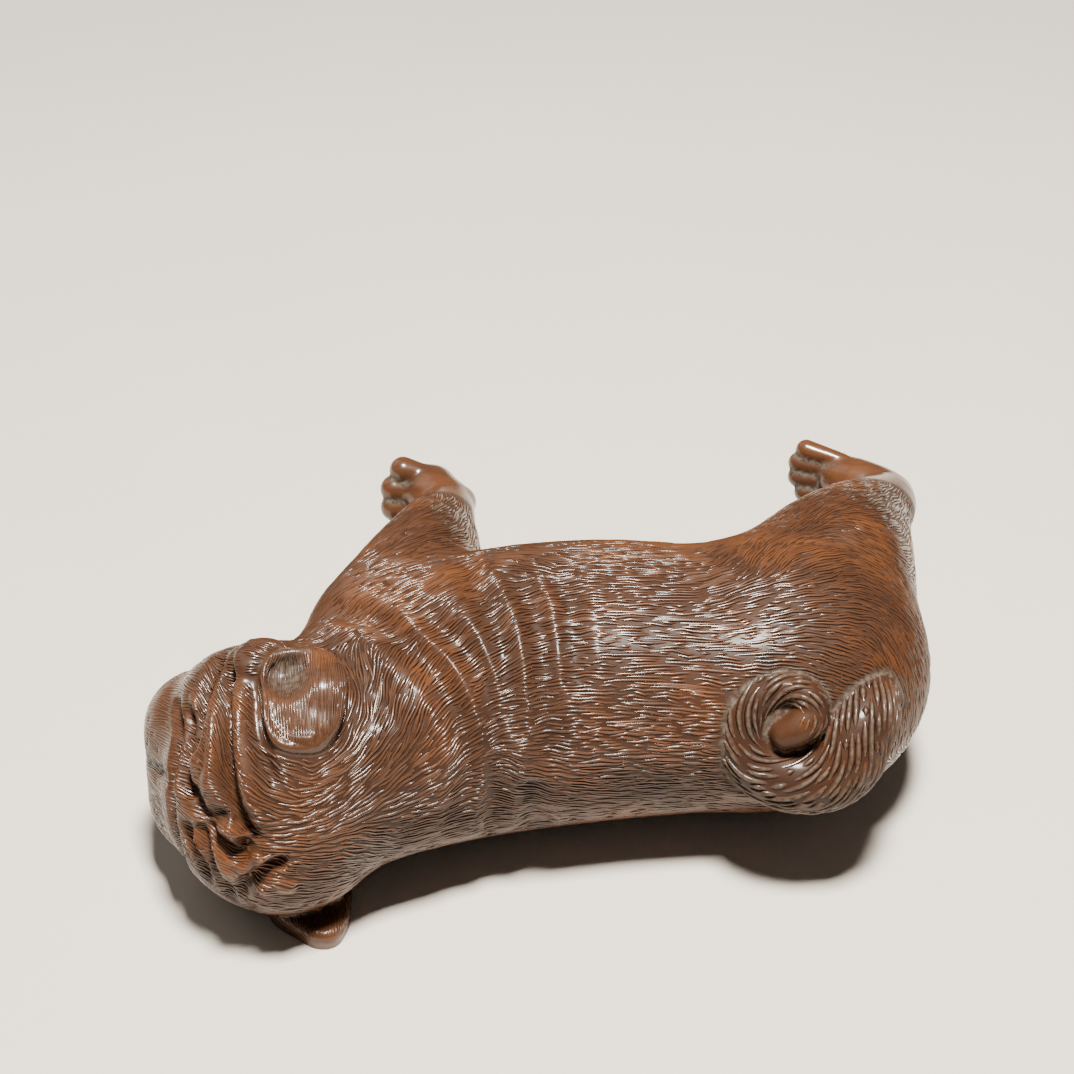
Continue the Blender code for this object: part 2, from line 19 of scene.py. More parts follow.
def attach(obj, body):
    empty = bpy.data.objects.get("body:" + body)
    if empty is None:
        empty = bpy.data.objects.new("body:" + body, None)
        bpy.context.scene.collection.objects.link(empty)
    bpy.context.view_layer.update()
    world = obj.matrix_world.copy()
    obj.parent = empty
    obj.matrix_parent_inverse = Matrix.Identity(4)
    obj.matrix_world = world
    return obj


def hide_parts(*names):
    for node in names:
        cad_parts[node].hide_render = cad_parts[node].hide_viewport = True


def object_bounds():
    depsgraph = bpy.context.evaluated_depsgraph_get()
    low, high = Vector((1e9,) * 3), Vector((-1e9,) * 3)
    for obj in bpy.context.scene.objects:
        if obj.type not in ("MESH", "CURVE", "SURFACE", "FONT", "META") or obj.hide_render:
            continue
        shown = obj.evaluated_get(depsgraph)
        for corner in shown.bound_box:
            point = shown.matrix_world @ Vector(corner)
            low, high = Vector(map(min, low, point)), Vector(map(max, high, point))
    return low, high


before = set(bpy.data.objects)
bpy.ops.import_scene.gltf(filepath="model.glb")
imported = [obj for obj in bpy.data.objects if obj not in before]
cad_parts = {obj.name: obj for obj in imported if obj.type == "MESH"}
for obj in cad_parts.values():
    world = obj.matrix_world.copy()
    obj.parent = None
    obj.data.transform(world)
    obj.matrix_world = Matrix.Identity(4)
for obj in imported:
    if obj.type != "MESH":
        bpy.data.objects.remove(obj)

bl_info = {
    "name": "Carved sleeping pug",
    "version": (1, 0, 0),
    "blender": (4, 5, 0),
    "location": "3D View > Sidebar > Carved Pug",
    "description": "Carves, coats and lights a boxwood pug for a tea tray",
    "category": "Object",
}

CAD_BOX = [list(corner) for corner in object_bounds()]
CARVED_BLOCK = "carved_dog"
BODY = "root"

MM = 0.001
LAID_OUT = 81.297  # the dog's length in the tables, in millimetres
DOG_LENGTH = round((CAD_BOX[1][0] - CAD_BOX[0][0]) / MM, 2)
SCALE = DOG_LENGTH / LAID_OUT * MM
MIDDLE = np.array([1.759, 20.467, 0.0])  # of the dog's box in the tables

# How the skin is worked and how the strokes are laid, in laid-out millimetres
SKIN_TRIANGLES = 190000
PASSES_ON_BLOCK = 4
PASSES_ON_SKIN = 2
FLOW_REACH = 7.0  # beyond this a stroke in the flow table counts for little
FLOW_SOFTNESS = 0.5  # keeps the nearest stroke in the table from counting alone
WAVE = 0.12  # radians that a stroke turns to and fro as it runs
WAVE_ALONG = (2.6, 1.3)  # radians that the wave goes through in a millimetre of X and of Y
WAVE_ACROSS = (1.9, -2.1, 0.8)  # and the weaker wave, in a millimetre of Z, X and Y
WEAKER_WAVE = 0.8
TAIL_TWIST = 24.0  # degrees that the strands turn round the tail
STROKE_STEP = 0.55
START_ROOM = 0.92  # room that a stroke needs where it starts, as a share of the spacing
END_ROOM = 1.15  # from the end of a stroke to the start of the next, over the spacing
START_STRIDE = 7  # one face in this many, drawn at random, is tried as a start
END_TAPER = 0.06  # of the arch that a stroke's girth follows, left off at each end
STUB = 0.25  # the shortest stroke that is kept, as a share of the shortest one wanted
CELL = 0.7  # of the grid that tells which strokes are near, wider than any spacing
CLOSEST = 0.72  # least room between two strokes, as a share of their spacing
SHARPEST_TURN = 0.3  # least cosine between one step of a stroke and the next
SHOULDER_LINE = -5.0  # the X where the coat of the head meets that of the body
END_SINK = 0.35  # how far a stroke's ends sink into the skin, as a share of its height
FACE_FINENESS = 0.85  # size of the face's strokes over those of the body
FACE_HEIGHT = 0.42  # height of the face's strokes over that of the body's
EAR_FINENESS = 0.85
WELL_INSIDE = 0.9  # the least share of an ear where its strokes lie
EAR_GIRTH = 0.6
EAR_TILT = 0.3  # how far the right ear rises across its width, as a slope
EAR_LIFT = 0.1  # how far it rises towards its top, as a slope
EAR_RIM_HEIGHT = 0.28
EAR_HOLLOW_DEPTH = 0.5
EAR_HOLLOW_MIDDLE = (-1.2, 2.4)  # across and along the right ear, from its middle
BARE_TIP = 2.3  # round the tail's tip, without strands
RIDGE_SIDES = 4
RIDGE_SHARE = 0.6  # half width of a ridge as a share of the spacing
TINY = 1e-9
FAR_AWAY = 1e9
SAW_TOLERANCE = 1e-6

PHOTO_PIXELS = 1074
FOCAL_PIXELS = 2153.8
CAMERA_PITCH = 38.0
CAMERA_PLACE = (-0.00203, -0.16786, 0.15806)
LAMP_PLACE = (0.02, -0.06, 0.42)
WINDOW_PLACE = (-0.45, 0.35, 0.4)
WINDOW_SHARE = 0.12
WINDOW_SIZE = 0.5
LAMP_AIM = (0.0, 0.0, 0.01)
LAMP_COLOUR = (1.0, 0.94, 0.86)
ROOM_COLOUR = (1.0, 0.97, 0.93, 1.0)
TABLE_HALF_WIDTH = 1.5
TABLE_CLOUDS = 40.0  # to a metre
CLOUD_SHADE = 0.94
TABLE_ROUGHNESS = 0.7
SENSOR_WIDTH = 36.0
CLIP_RANGE = (0.01, 20.0)

# Driving sizes, in millimetres unless they say otherwise
TRUNK_FLATTENING = 0.9  # side to side over back to belly
BODY_ROLL = 16.0  # degrees that the back is turned up from the table
HEAD_ROLL = 22.0  # degrees that the crown is turned up from the table
HEAD_NOD = 24.0  # degrees that the nose is turned to the chest
LEG_GIRTH = 1.0  # times every leg radius
TAIL_GIRTH = 1.0  # times every tail radius
TAIL_LEAN = 22.0  # degrees that the plane of the curl leans back
EAR_THICKNESS = 1.3
LEFT_EAR_THICKNESS = 2.0
FRONT_TOE_RADIUS = 1.55
HIND_TOE_RADIUS = 1.2
TOE_SPREAD = 1.4  # from toe to toe, over the toe's radius
LEFT_FRONT_TOE_SHARE = 0.85  # of the front toe radius, on the foot that lies under the other
OUTER_TOE_SET_BACK = 0.7  # over the toe's radius
TOE_TAPER = 0.8  # of the radius and of the spread, at the toe's root
NECK_FOLD_WIDTH = 2.6
NECK_FOLD_DEPTH = 0.9
FOLD_FADE = 0.2  # share of a fold's line over which it fades at each end

RIGHT_FORELEG_FILLET = 3.0
RIGHT_HIND_LEG_FILLET = 4.0
LEFT_LEG_FILLET = 1.6
WRIST_FILLET = 1.0
HEAD_FILLET = 1.4  # radius where the head's masses flow into each other
NOSE_FILLET = 0.4
TOE_FILLET = 0.4
TAIL_FILLET = 0.5
EAR_FILLET = 0.3  # in the crease where an ear meets the head
EAR_EDGE = 0.9  # rounding of an ear's rim
EAR_CORNER = 0.8  # rounding of the left ear's outline
EAR_ROOT = 4.0  # how deep the right ear's flap may reach into the skull

BLOCK_VOXEL = 0.8
REACH = 4.5  # how far beyond its own box a mass can still bend the form
LINE_STEPS = 4  # straight steps from one row of a table to the next
TRUNK_STEPS = 3  # balls of the rough block from one row of the trunk to the next
TOE_STEPS = 5
STEEPEST_TAPER = 0.9  # change of radius over length
SLOPE_STEP = 0.05
SLAB_STAND_OFF = 99.0  # farther inside than any point

# Masses laid out along a line: each row is a place x, y, z and a radius
TRUNK = [
    (-20.0, 4.2, 12.2, 11.8),
    (-14.0, 8.6, 13.0, 13.8),
    (-6.0, 12.8, 13.2, 15.4),
    (5.0, 14.9, 13.2, 15.5),
    (15.0, 15.2, 13.2, 14.8),
    (22.0, 14.8, 13.2, 14.4),
    (25.4, 14.6, 13.4, 13.6),
]
RIGHT_FORELEG = [
    (-14.5, 19.0, 14.0, 9.6),
    (-12.6, 29.0, 15.2, 6.6),
    (-11.4, 37.0, 14.8, 4.4),
    (-10.5, 42.0, 14.4, 3.1),
    (-12.4, 45.4, 14.2, 3.3),
]
LEFT_FORELEG = [
    (-14.0, 18.0, 9.0, 9.0),
    (-12.0, 28.0, 5.6, 5.4),
    (-10.4, 35.0, 3.8, 4.0),
    (-9.6, 39.4, 2.9, 3.2),
    (-12.4, 41.6, 2.9, 2.9),
]
RIGHT_HIND_LEG = [
    (26.4, 18.0, 14.5, 12.4),
    (31.2, 29.0, 15.4, 8.8),
    (35.4, 38.0, 15.0, 5.4),
    (39.2, 44.4, 14.0, 3.2),
    (36.0, 47.6, 14.0, 2.9),
    (34.2, 48.7, 14.0, 2.4),
]
LEFT_HIND_LEG = [
    (27.0, 17.0, 10.0, 10.5),
    (30.4, 26.0, 6.0, 6.6),
    (34.4, 34.0, 4.0, 4.4),
    (37.6, 39.0, 3.0, 3.3),
    (33.8, 42.0, 2.9, 2.9),
    (31.6, 43.0, 2.9, 2.8),
]

LEGS = (LEFT_FORELEG, RIGHT_FORELEG, LEFT_HIND_LEG, RIGHT_HIND_LEG)
WRIST_KNOB = [(-10.8, 43.4, 14.2, 2.4), (-8.7, 43.7, 14.3, 1.5)]

LEFT_FRONT_TOE_RADIUS = FRONT_TOE_RADIUS * LEFT_FRONT_TOE_SHARE

# Each foot: the middle of its toe tips, the way they point, the way across them, radius, length
FEET = [
    ((-16.5, 45.0, 13.8), (-1.0, 0.0, 0.0), (0.0, 0.37, 0.93), FRONT_TOE_RADIUS, 3.6),
    ((-14.8, 41.2, 3.8), (-1.0, 0.1, 0.0), (0.0, 0.37, 0.93), LEFT_FRONT_TOE_RADIUS, 3.4),
    ((29.8, 50.2, 14.0), (-1.0, 0.36, 0.0), (0.0, 0.34, 0.94), HIND_TOE_RADIUS, 5.0),
    ((29.2, 43.6, 3.4), (-1.0, 0.3, 0.0), (0.0, 0.34, 0.94), HIND_TOE_RADIUS, 4.6),
]
TOES = 4

# Masses of the head: a middle and half sizes, each forward, up and to the right, and a fillet
HEAD_CENTRE = (-25.2, 1.0, 12.8)
HEAD_MASSES = {
    "skull": ((0.0, 0.0, 0.0), (11.6, 11.9, 13.4), HEAD_FILLET),
    "right_flew": ((8.1, 0.4, 3.9), (6.2, 5.9, 6.0), HEAD_FILLET),
    "left_flew": ((8.0, 0.4, -2.6), (6.2, 5.8, 6.8), HEAD_FILLET),
    "chin": ((8.0, -5.0, 0.0), (5.0, 3.6, 5.0), HEAD_FILLET),
    "right_cheek": ((4.4, 1.0, 7.6), (5.0, 6.5, 5.0), HEAD_FILLET),
    "crown_bump": ((0.9, 2.4, 12.9), (2.6, 3.2, 1.6), HEAD_FILLET),
    "muzzle": ((7.9, 0.6, 0.7), (5.9, 5.9, 4.6), HEAD_FILLET),
    "nose": ((12.9, -0.4, 0.8), (2.0, 1.9, 2.8), NOSE_FILLET),
}

# The right ear on the skull: its middle in the head's frame, its half sizes and its turn
RIGHT_EAR_MIDDLE = (-5.5, 5.0, 11.0)
RIGHT_EAR_HALF_SIZES = (3.9, 5.5)
RIGHT_EAR_TURN = 5.0
# Its hollow, its full lobe and a dimple: across, along, radius and height
RIGHT_EAR_RELIEF = [(-1.4, 2.2, 3.0, -1.0), (1.9, 0.6, 2.8, 0.5), (0.6, 3.0, 1.0, -0.4)]
EAR_BOXINESS = 2.6  # 2 would make its outline an ellipse

# The left ear's outline where it lies on the table, in the row's X and Y, anticlockwise
LEFT_EAR = [
    (-27.2, -4.4),
    (-26.4, -6.5),
    (-21.7, -9.9),
    (-19.8, -9.6),
    (-18.7, -7.4),
    (-18.8, -2.0),
    (-25.2, -2.0),
]

# The tail in its own plane: along +X, up the rump and out from it, and a radius
TAIL_CENTRE = (24.0, 2.2, 16.0)
TAIL = [
    (8.5, 3.6, -2.8, 2.8),
    (7.7, 2.6, -1.2, 3.2),
    (6.8, 1.2, -0.2, 3.4),
    (5.6, -1.2, 0.1, 3.7),
    (3.4, -2.9, 0.2, 3.6),
    (0.3, -3.2, 0.4, 3.2),
    (-2.9, -1.9, 0.4, 2.7),
    (-4.3, 0.7, 0.4, 2.1),
    (-4.1, 3.3, 0.5, 1.9),
    (-2.6, 5.2, 0.5, 1.6),
    (-0.4, 6.1, 0.7, 1.3),
    (1.5, 5.5, 1.1, 1.5),
    (2.1, 3.9, 1.6, 1.6),
    (0.9, 2.6, 1.9, 1.7),
    (-0.5, 1.8, 1.9, 1.4),
]

# Cuts in the face: a share of the full depth, then places forward, up and right of its middle
FACE_FOLDS = {
    "before_nose_roll": (1.0, [
        (7.6, 4.2, 9.3), (7.4, 5.7, 8.2), (6.3, 8.3, 6.3), (6.2, 9.5, 3.9), (6.2, 10.0, 1.4),
        (6.3, 10.0, -1.2), (6.1, 9.5, -3.8), (6.5, 7.0, -7.0), (6.8, 3.0, -9.4), (6.4, -0.5, -10.4),
    ]),
    "closed_eye": (1.2, [
        (5.8, 6.2, 9.3), (5.0, 8.1, 8.0), (4.6, 9.7, 5.6), (4.3, 10.7, 3.4), (3.3, 11.3, 2.2),
        (1.5, 11.6, 2.4),
    ]),
    "second_roll": (0.9, [
        (4.8, 1.2, 12.0), (4.4, 4.0, 11.6), (4.0, 6.9, 9.9), (3.5, 8.3, 8.7), (3.4, 9.6, 6.8),
        (3.3, 10.5, 5.1),
    ]),
    "brow": (1.2, [
        (2.9, 1.0, 13.4), (2.5, 4.3, 13.0), (1.9, 6.6, 11.0), (0.9, 8.3, 9.5), (-0.3, 10.3, 6.7),
        (-1.2, 11.4, 3.6), (-2.3, 11.6, 0.7), (-3.6, 11.3, -1.0), (-4.8, 10.7, -1.6),
    ]),
    "behind_brow": (0.6, [
        (-0.8, 5.1, 12.7), (-2.2, 7.8, 9.8), (-3.2, 9.1, 7.9), (-4.5, 9.8, 5.4), (-6.1, 9.7, 3.4),
    ]),
    "between_eyes": (0.8, [
        (2.9, 11.4, 2.4), (2.5, 11.5, 1.7), (1.5, 11.8, 0.4), (0.1, 11.9, 0.6), (-1.7, 11.7, 1.4),
    ]),
    "frown": (1.0, [
        (2.1, 11.7, 0.6), (0.9, 11.9, -0.9), (-0.1, 11.8, -2.0), (-1.8, 11.4, -3.3),
        (-2.6, 11.4, -2.2), (-4.0, 11.1, -1.2),
    ]),
    "left_nose_roll": (1.0, [
        (2.7, 11.6, -0.2), (1.9, 11.7, -1.4), (1.5, 11.5, -3.0), (1.4, 11.1, -4.6),
        (1.1, 10.5, -6.2), (0.8, 9.4, -8.0), (1.2, 6.8, -10.4),
    ]),
    "left_eye": (0.9, [
        (3.7, 11.3, -0.3), (3.7, 11.1, -2.1), (3.2, 11.0, -3.8), (2.6, 10.6, -5.4),
        (2.6, 9.0, -7.8),
    ]),
    "left_cheek": (0.9, [
        (0.2, 8.6, -9.2), (-1.6, 10.1, -6.9), (-3.1, 10.5, -5.4), (-4.3, 10.3, -4.5),
        (-5.6, 9.8, -3.9), (-6.3, 9.3, -4.0),
    ]),
    "mouth": (0.8, [
        (6.4, -3.4, 9.4), (10.8, -3.8, 5.4), (12.6, -2.4, 0.6), (10.8, -3.8, -5.0),
        (6.4, -3.4, -9.2),
    ]),
    "bridge": (0.35, [(11.9, 2.4, 1.2), (10.5, 5.7, 1.4), (8.3, 8.2, 1.9), (6.7, 9.6, 1.9)]),
    "round_nose": (0.8, [
        (13.0, -2.8, 1.4), (13.0, -2.1, 3.3), (12.8, -0.2, 4.5), (12.4, 1.6, 3.2), (12.3, 2.2, 0.8),
        (12.4, 1.6, -1.6), (12.8, -0.2, -2.9), (13.0, -2.1, -1.7), (13.0, -2.8, 0.2),
    ]),
    "lip_split": (0.7, [
        (13.2, -1.8, 0.8), (13.0, -3.0, 0.7), (12.4, -4.4, 0.6), (11.2, -5.8, 0.6),
    ]),
}

# Cuts round the neck and shoulders, with places in the row's own frame
NECK_FOLDS = {
    "nape": (1.0, [
        (-23.6, 18.4, 17.8), (-21.6, 15.7, 21.5), (-19.3, 13.2, 23.7), (-16.9, 10.6, 25.3),
        (-14.6, 8.2, 25.9), (-12.3, 5.5, 25.7), (-9.9, 2.9, 24.7), (-8.2, 0.5, 22.9),
        (-6.7, -1.7, 19.8), (-6.9, -3.2, 16.1), (-7.5, -3.5, 12.5), (-9.0, -2.6, 6.0),
    ]),
    "shoulder": (1.0, [
        (-13.0, 12.0, 26.4), (-11.2, 9.6, 26.6), (-9.4, 7.5, 26.5), (-6.8, 4.8, 25.6),
        (-4.9, 1.8, 23.4), (-4.0, -0.5, 20.6), (-3.7, -1.8, 17.8), (-4.0, -2.5, 14.4),
        (-4.2, -2.2, 10.7), (-4.8, 0.4, 4.6),
    ]),
    "armpit": (0.9, [
        (-7.9, 20.6, 24.8), (-6.3, 13.6, 27.2), (-4.6, 9.1, 27.0), (-3.6, 5.1, 25.5),
        (-3.0, 1.8, 23.0), (-2.4, -0.2, 20.4), (-2.0, -1.4, 17.0),
    ]),
    "first_rib_fold": (0.9, [
        (-3.4, 18.6, 26.4), (-1.6, 12.2, 27.4), (-0.7, 9.9, 27.0), (0.1, 5.4, 25.3),
        (0.4, 2.0, 22.6), (0.7, -0.8, 18.0), (0.6, -1.6, 14.0),
    ]),
    "second_rib_fold": (0.6, [
        (0.6, 18.6, 26.8), (2.3, 12.0, 27.3), (2.8, 9.3, 26.8), (3.2, 4.5, 24.4), (3.4, 1.6, 21.6),
    ]),
    "low_roll": (0.7, [
        (-1.4, -2.0, 15.6), (-1.0, -1.8, 13.8), (-0.5, -1.4, 11.3), (-0.3, -0.5, 8.0),
        (-0.4, 1.4, 4.4),
    ]),
    "behind_ear": (0.8, [
        (-20.4, 8.6, 23.6), (-18.8, 6.2, 24.7), (-17.4, 4.2, 24.7), (-15.9, 2.0, 24.2),
        (-15.1, 0.0, 23.2), (-15.2, -2.4, 21.4),
    ]),
}

# The finer carving that only the visible skin has

# Rolls between the face's cuts: a share of the full height, then places as for the cuts
FACE_ROLLS = {
    "nose_roll": (0.45, [
        (4.4, 6.1, 11.0), (4.7, 7.2, 9.8), (4.9, 8.0, 8.4), (4.9, 9.1, 6.6), (4.9, 10.1, 4.3),
        (4.9, 10.6, 2.3), (4.4, 11.0, 0.5),
    ]),
    "eye_roll": (0.55, [
        (2.8, 6.6, 10.8), (2.9, 8.2, 9.2), (2.7, 9.6, 7.4), (2.7, 10.5, 5.4), (2.8, 11.1, 3.8),
    ]),
    "cheek_roll": (0.55, [
        (2.5, 5.2, 12.2), (2.1, 7.4, 10.2), (1.5, 9.3, 8.2), (1.0, 10.6, 6.0), (1.0, 11.5, 3.5),
        (1.1, 11.7, 2.0),
    ]),
    "brow_roll": (0.55, [
        (0.5, 5.3, 13.5), (0.5, 6.6, 11.2), (-0.6, 8.7, 9.1), (-1.5, 10.1, 7.0), (-2.6, 10.9, 4.6),
        (-3.7, 11.2, 2.0), (-4.9, 10.8, -0.1),
    ]),
    "frown_roll": (0.4, [(0.3, 11.9, -0.4), (-1.0, 11.9, -0.5), (-2.3, 11.6, -1.1)]),
    "left_nose_roll": (0.45, [
        (3.4, 11.4, -1.2), (2.4, 11.3, -3.0), (2.1, 10.9, -4.8), (2.1, 9.6, -7.6),
    ]),
    "left_eye_roll": (0.5, [
        (1.4, 11.8, -0.4), (0.5, 11.7, -2.8), (0.1, 11.2, -4.7), (-0.4, 10.2, -6.9),
    ]),
    "left_brow_roll": (0.5, [(-4.2, 10.9, -2.4), (-3.0, 10.8, -4.5), (-1.6, 10.8, -5.4)]),
    "left_cheek_roll": (0.45, [(-2.5, 9.5, -7.6), (-4.6, 9.3, -6.5), (-6.3, 7.8, -7.0)]),
}
ROLL_WIDTH = 1.4

# Small cuts: a depth, a width, then places in the head's frame
FINE_CUTS = {
    "right_nostril": (0.75, 0.65, [(14.6, 0.2, 1.5), (14.6, -0.5, 2.1), (14.3, -0.6, 2.9)]),
    "left_nostril": (0.75, 0.65, [(14.6, 0.2, 0.1), (14.6, -0.5, -0.5), (14.3, -0.6, -1.3)]),
    "bridge_slit": (0.3, 0.35, [(12.0, 2.6, 1.2), (10.5, 5.7, 1.4), (8.3, 8.2, 1.9)]),
    "closed_lid": (0.7, 0.6, [
        (4.8, 10.4, 4.4), (4.3, 10.9, 3.0), (3.2, 11.5, 2.0), (1.8, 11.7, 2.2),
    ]),
    "left_lid": (0.6, 0.55, [(3.7, 11.1, -1.6), (3.3, 11.0, -3.2), (2.7, 10.7, -5.0)]),
    "lip_line": (0.5, 0.5, [(12.4, -4.2, 0.6), (11.4, -4.6, -3.0), (8.6, -4.2, -7.4)]),
    "right_lip_line": (0.5, 0.5, [(12.4, -4.2, 0.6), (11.4, -4.6, 4.0), (8.6, -4.2, 8.0)]),
}
DIMPLES = 46
DIMPLE_RADIUS = 0.55
DIMPLE_DEPTH = 0.14
DIMPLE_SEED = 4
MUZZLE_BALL = ((7.0, 1.0, 0.5), 7.0)  # its middle in the head's frame and its radius
DIMPLE_AIMS = ((0.4, 1.0), (-0.5, 1.0), (-1, 1))  # ranges forward, up and to the right
MUZZLE_EDGE = 8.0  # forward of the head's middle, where the lips begin
MUZZLE_FADE = 2.0
MUZZLE_LEAN = 0.25  # how much farther back it begins, over how high up

# Where the parts of the coat begin and fade, in laid-out millimetres
EAR_FACE = 0.86  # the share of the way to the right ear's rim that its face takes up
EAR_RIM_PLACE = 0.84
EAR_RIM_HALF_WIDTH = 0.02
EAR_RIM_FADE = 0.1
EAR_RIM_END = 1.0  # across the ear, where its raised rim ends
EAR_HOLLOW_SHARE = 0.8  # how much shorter the way along it counts than the way across
EAR_HOLLOW_RADIUS = 0.8
EAR_HOLLOW_FADE = 2.2
RIGHT_EAR_FADE = 0.08  # beyond the rim, as a share of the way to it
LEFT_EAR_MARGIN = 0.15
LEFT_EAR_FADE = 0.3
TAIL_MARGIN = 0.25
FOOT_FADE = 5.0  # along the leg from its third row, over which the strokes run out
FOOT_RADIUS = 12.0
FOOT_EDGE = 2.0
LEG_REACH = 1.1  # within this many radii of a leg the coat runs down it
LEG_EDGE = 3.0
HEAD_RADIUS = 17.0  # within it the coat runs back from the face
HEAD_FADE = 5.0
BROW_LINE = 3.1
BROW_LEAN = 0.6
NOSE_MARGIN = 1.2
NOSE_FADE = 0.2
BARE_FOOT = 0.6  # the share of a foot at which the coat begins to end
BARE_FOOT_FADE = 0.3
FINE_FOOT = 0.75  # the share of a foot at which the strokes are finest
COAT_BOTTOM = 0.3  # above the table
COAT_BOTTOM_FADE = 0.5

# How wide the painted shade and gathered stain lie in the cuts, beside the tail and between the
# toes, and how strongly the wood shows them and its wear
FACE_SHADE_AND_STAIN_WIDTH = 1.15
NECK_SHADE_AND_STAIN = 0.45
NECK_SHADE_AND_STAIN_WIDTH = 1.5
# Painted shade on the rump round the tail, where the tail stands off it
TAIL_SHADE_START = 0.1
TAIL_SHADE_WIDTH = 1.3
TAIL_SURFACE = 0.15  # beyond it a point belongs to the rump, not to the tail
# Painted shade in the creases between the toes
TOE_GAP = 0.1  # how much nearer one toe may be than the next, in the crease between them
TOE_GAP_FADE = 0.8
TOE_GAP_HEIGHT = 0.3
TOE_GAP_TOP = 0.6
# Painted shade and dust in the right ear's hollow; the ears are also dulled all over
EAR_HOLLOW_SHADE_AND_DUST = 0.8
EAR_DULLING = 0.1
EAR_LOBE_MIDDLE = (1.6, 3.6)
LOBE_RADIUS = 0.6
LOBE_FADE = 1.2
TIP_RADIUS = 1.5  # round the tail's tip
TIP_WEAR_FADE = 2.5
TIP_GIRTH_FADE = 3.0
TIP_WEAR = 0.7
# The ground between strokes takes painted shade, with the stain that gathers there
BARE_GROUND = 0.15  # how much the wood without strokes looks like the ground between them
EAR_GROUND = 0.4
FACE_GROUND = 0.65
FOOT_GIRTH = 0.2  # of the last strokes before the feet, over that of the body's
MUZZLE_GIRTH = 0.65
TIP_GIRTH = 0.35

# The wood: how many of each thing come to a millimetre, and what they change
GRAIN_STRETCH = 0.22
STREAK_CONTRAST = (1.5, 0.25)  # times the noise, and what is taken off
PATCH_CONTRAST = (3.2, 1.45)
DUST_CONTRAST = (2.6, 0.75)
LEAST_WORN = 0.35  # of the warm colour between its specks
WORN_SPECKS = 0.9
STREAKS = 1.1
PATCHES = 0.11
SPECKS = 1.9
GRAIN = 5.0
GRAIN_DEPTH = 0.03
GRAIN_STRENGTH = 0.35
CREST_WARMTH = 0.75
PATCH_WARMTH = 0.55
# How strongly painted shade, with gathered stain, darkens the ground between strokes and the
# hollows
GROUND_DARKNESS = 0.75
HOLLOW_DARKNESS = 0.8
STREAK_ROUGHNESS = 0.12
HOLLOW_ROUGHNESS = 0.3
GROUND_ROUGHNESS = 0.25
WAX_LOST_IN_HOLLOWS = 0.85
WAX_LOST_ON_GROUND = 0.8
WAX_ROUGHNESS = 0.19
WOOD_GLOSS = 0.15

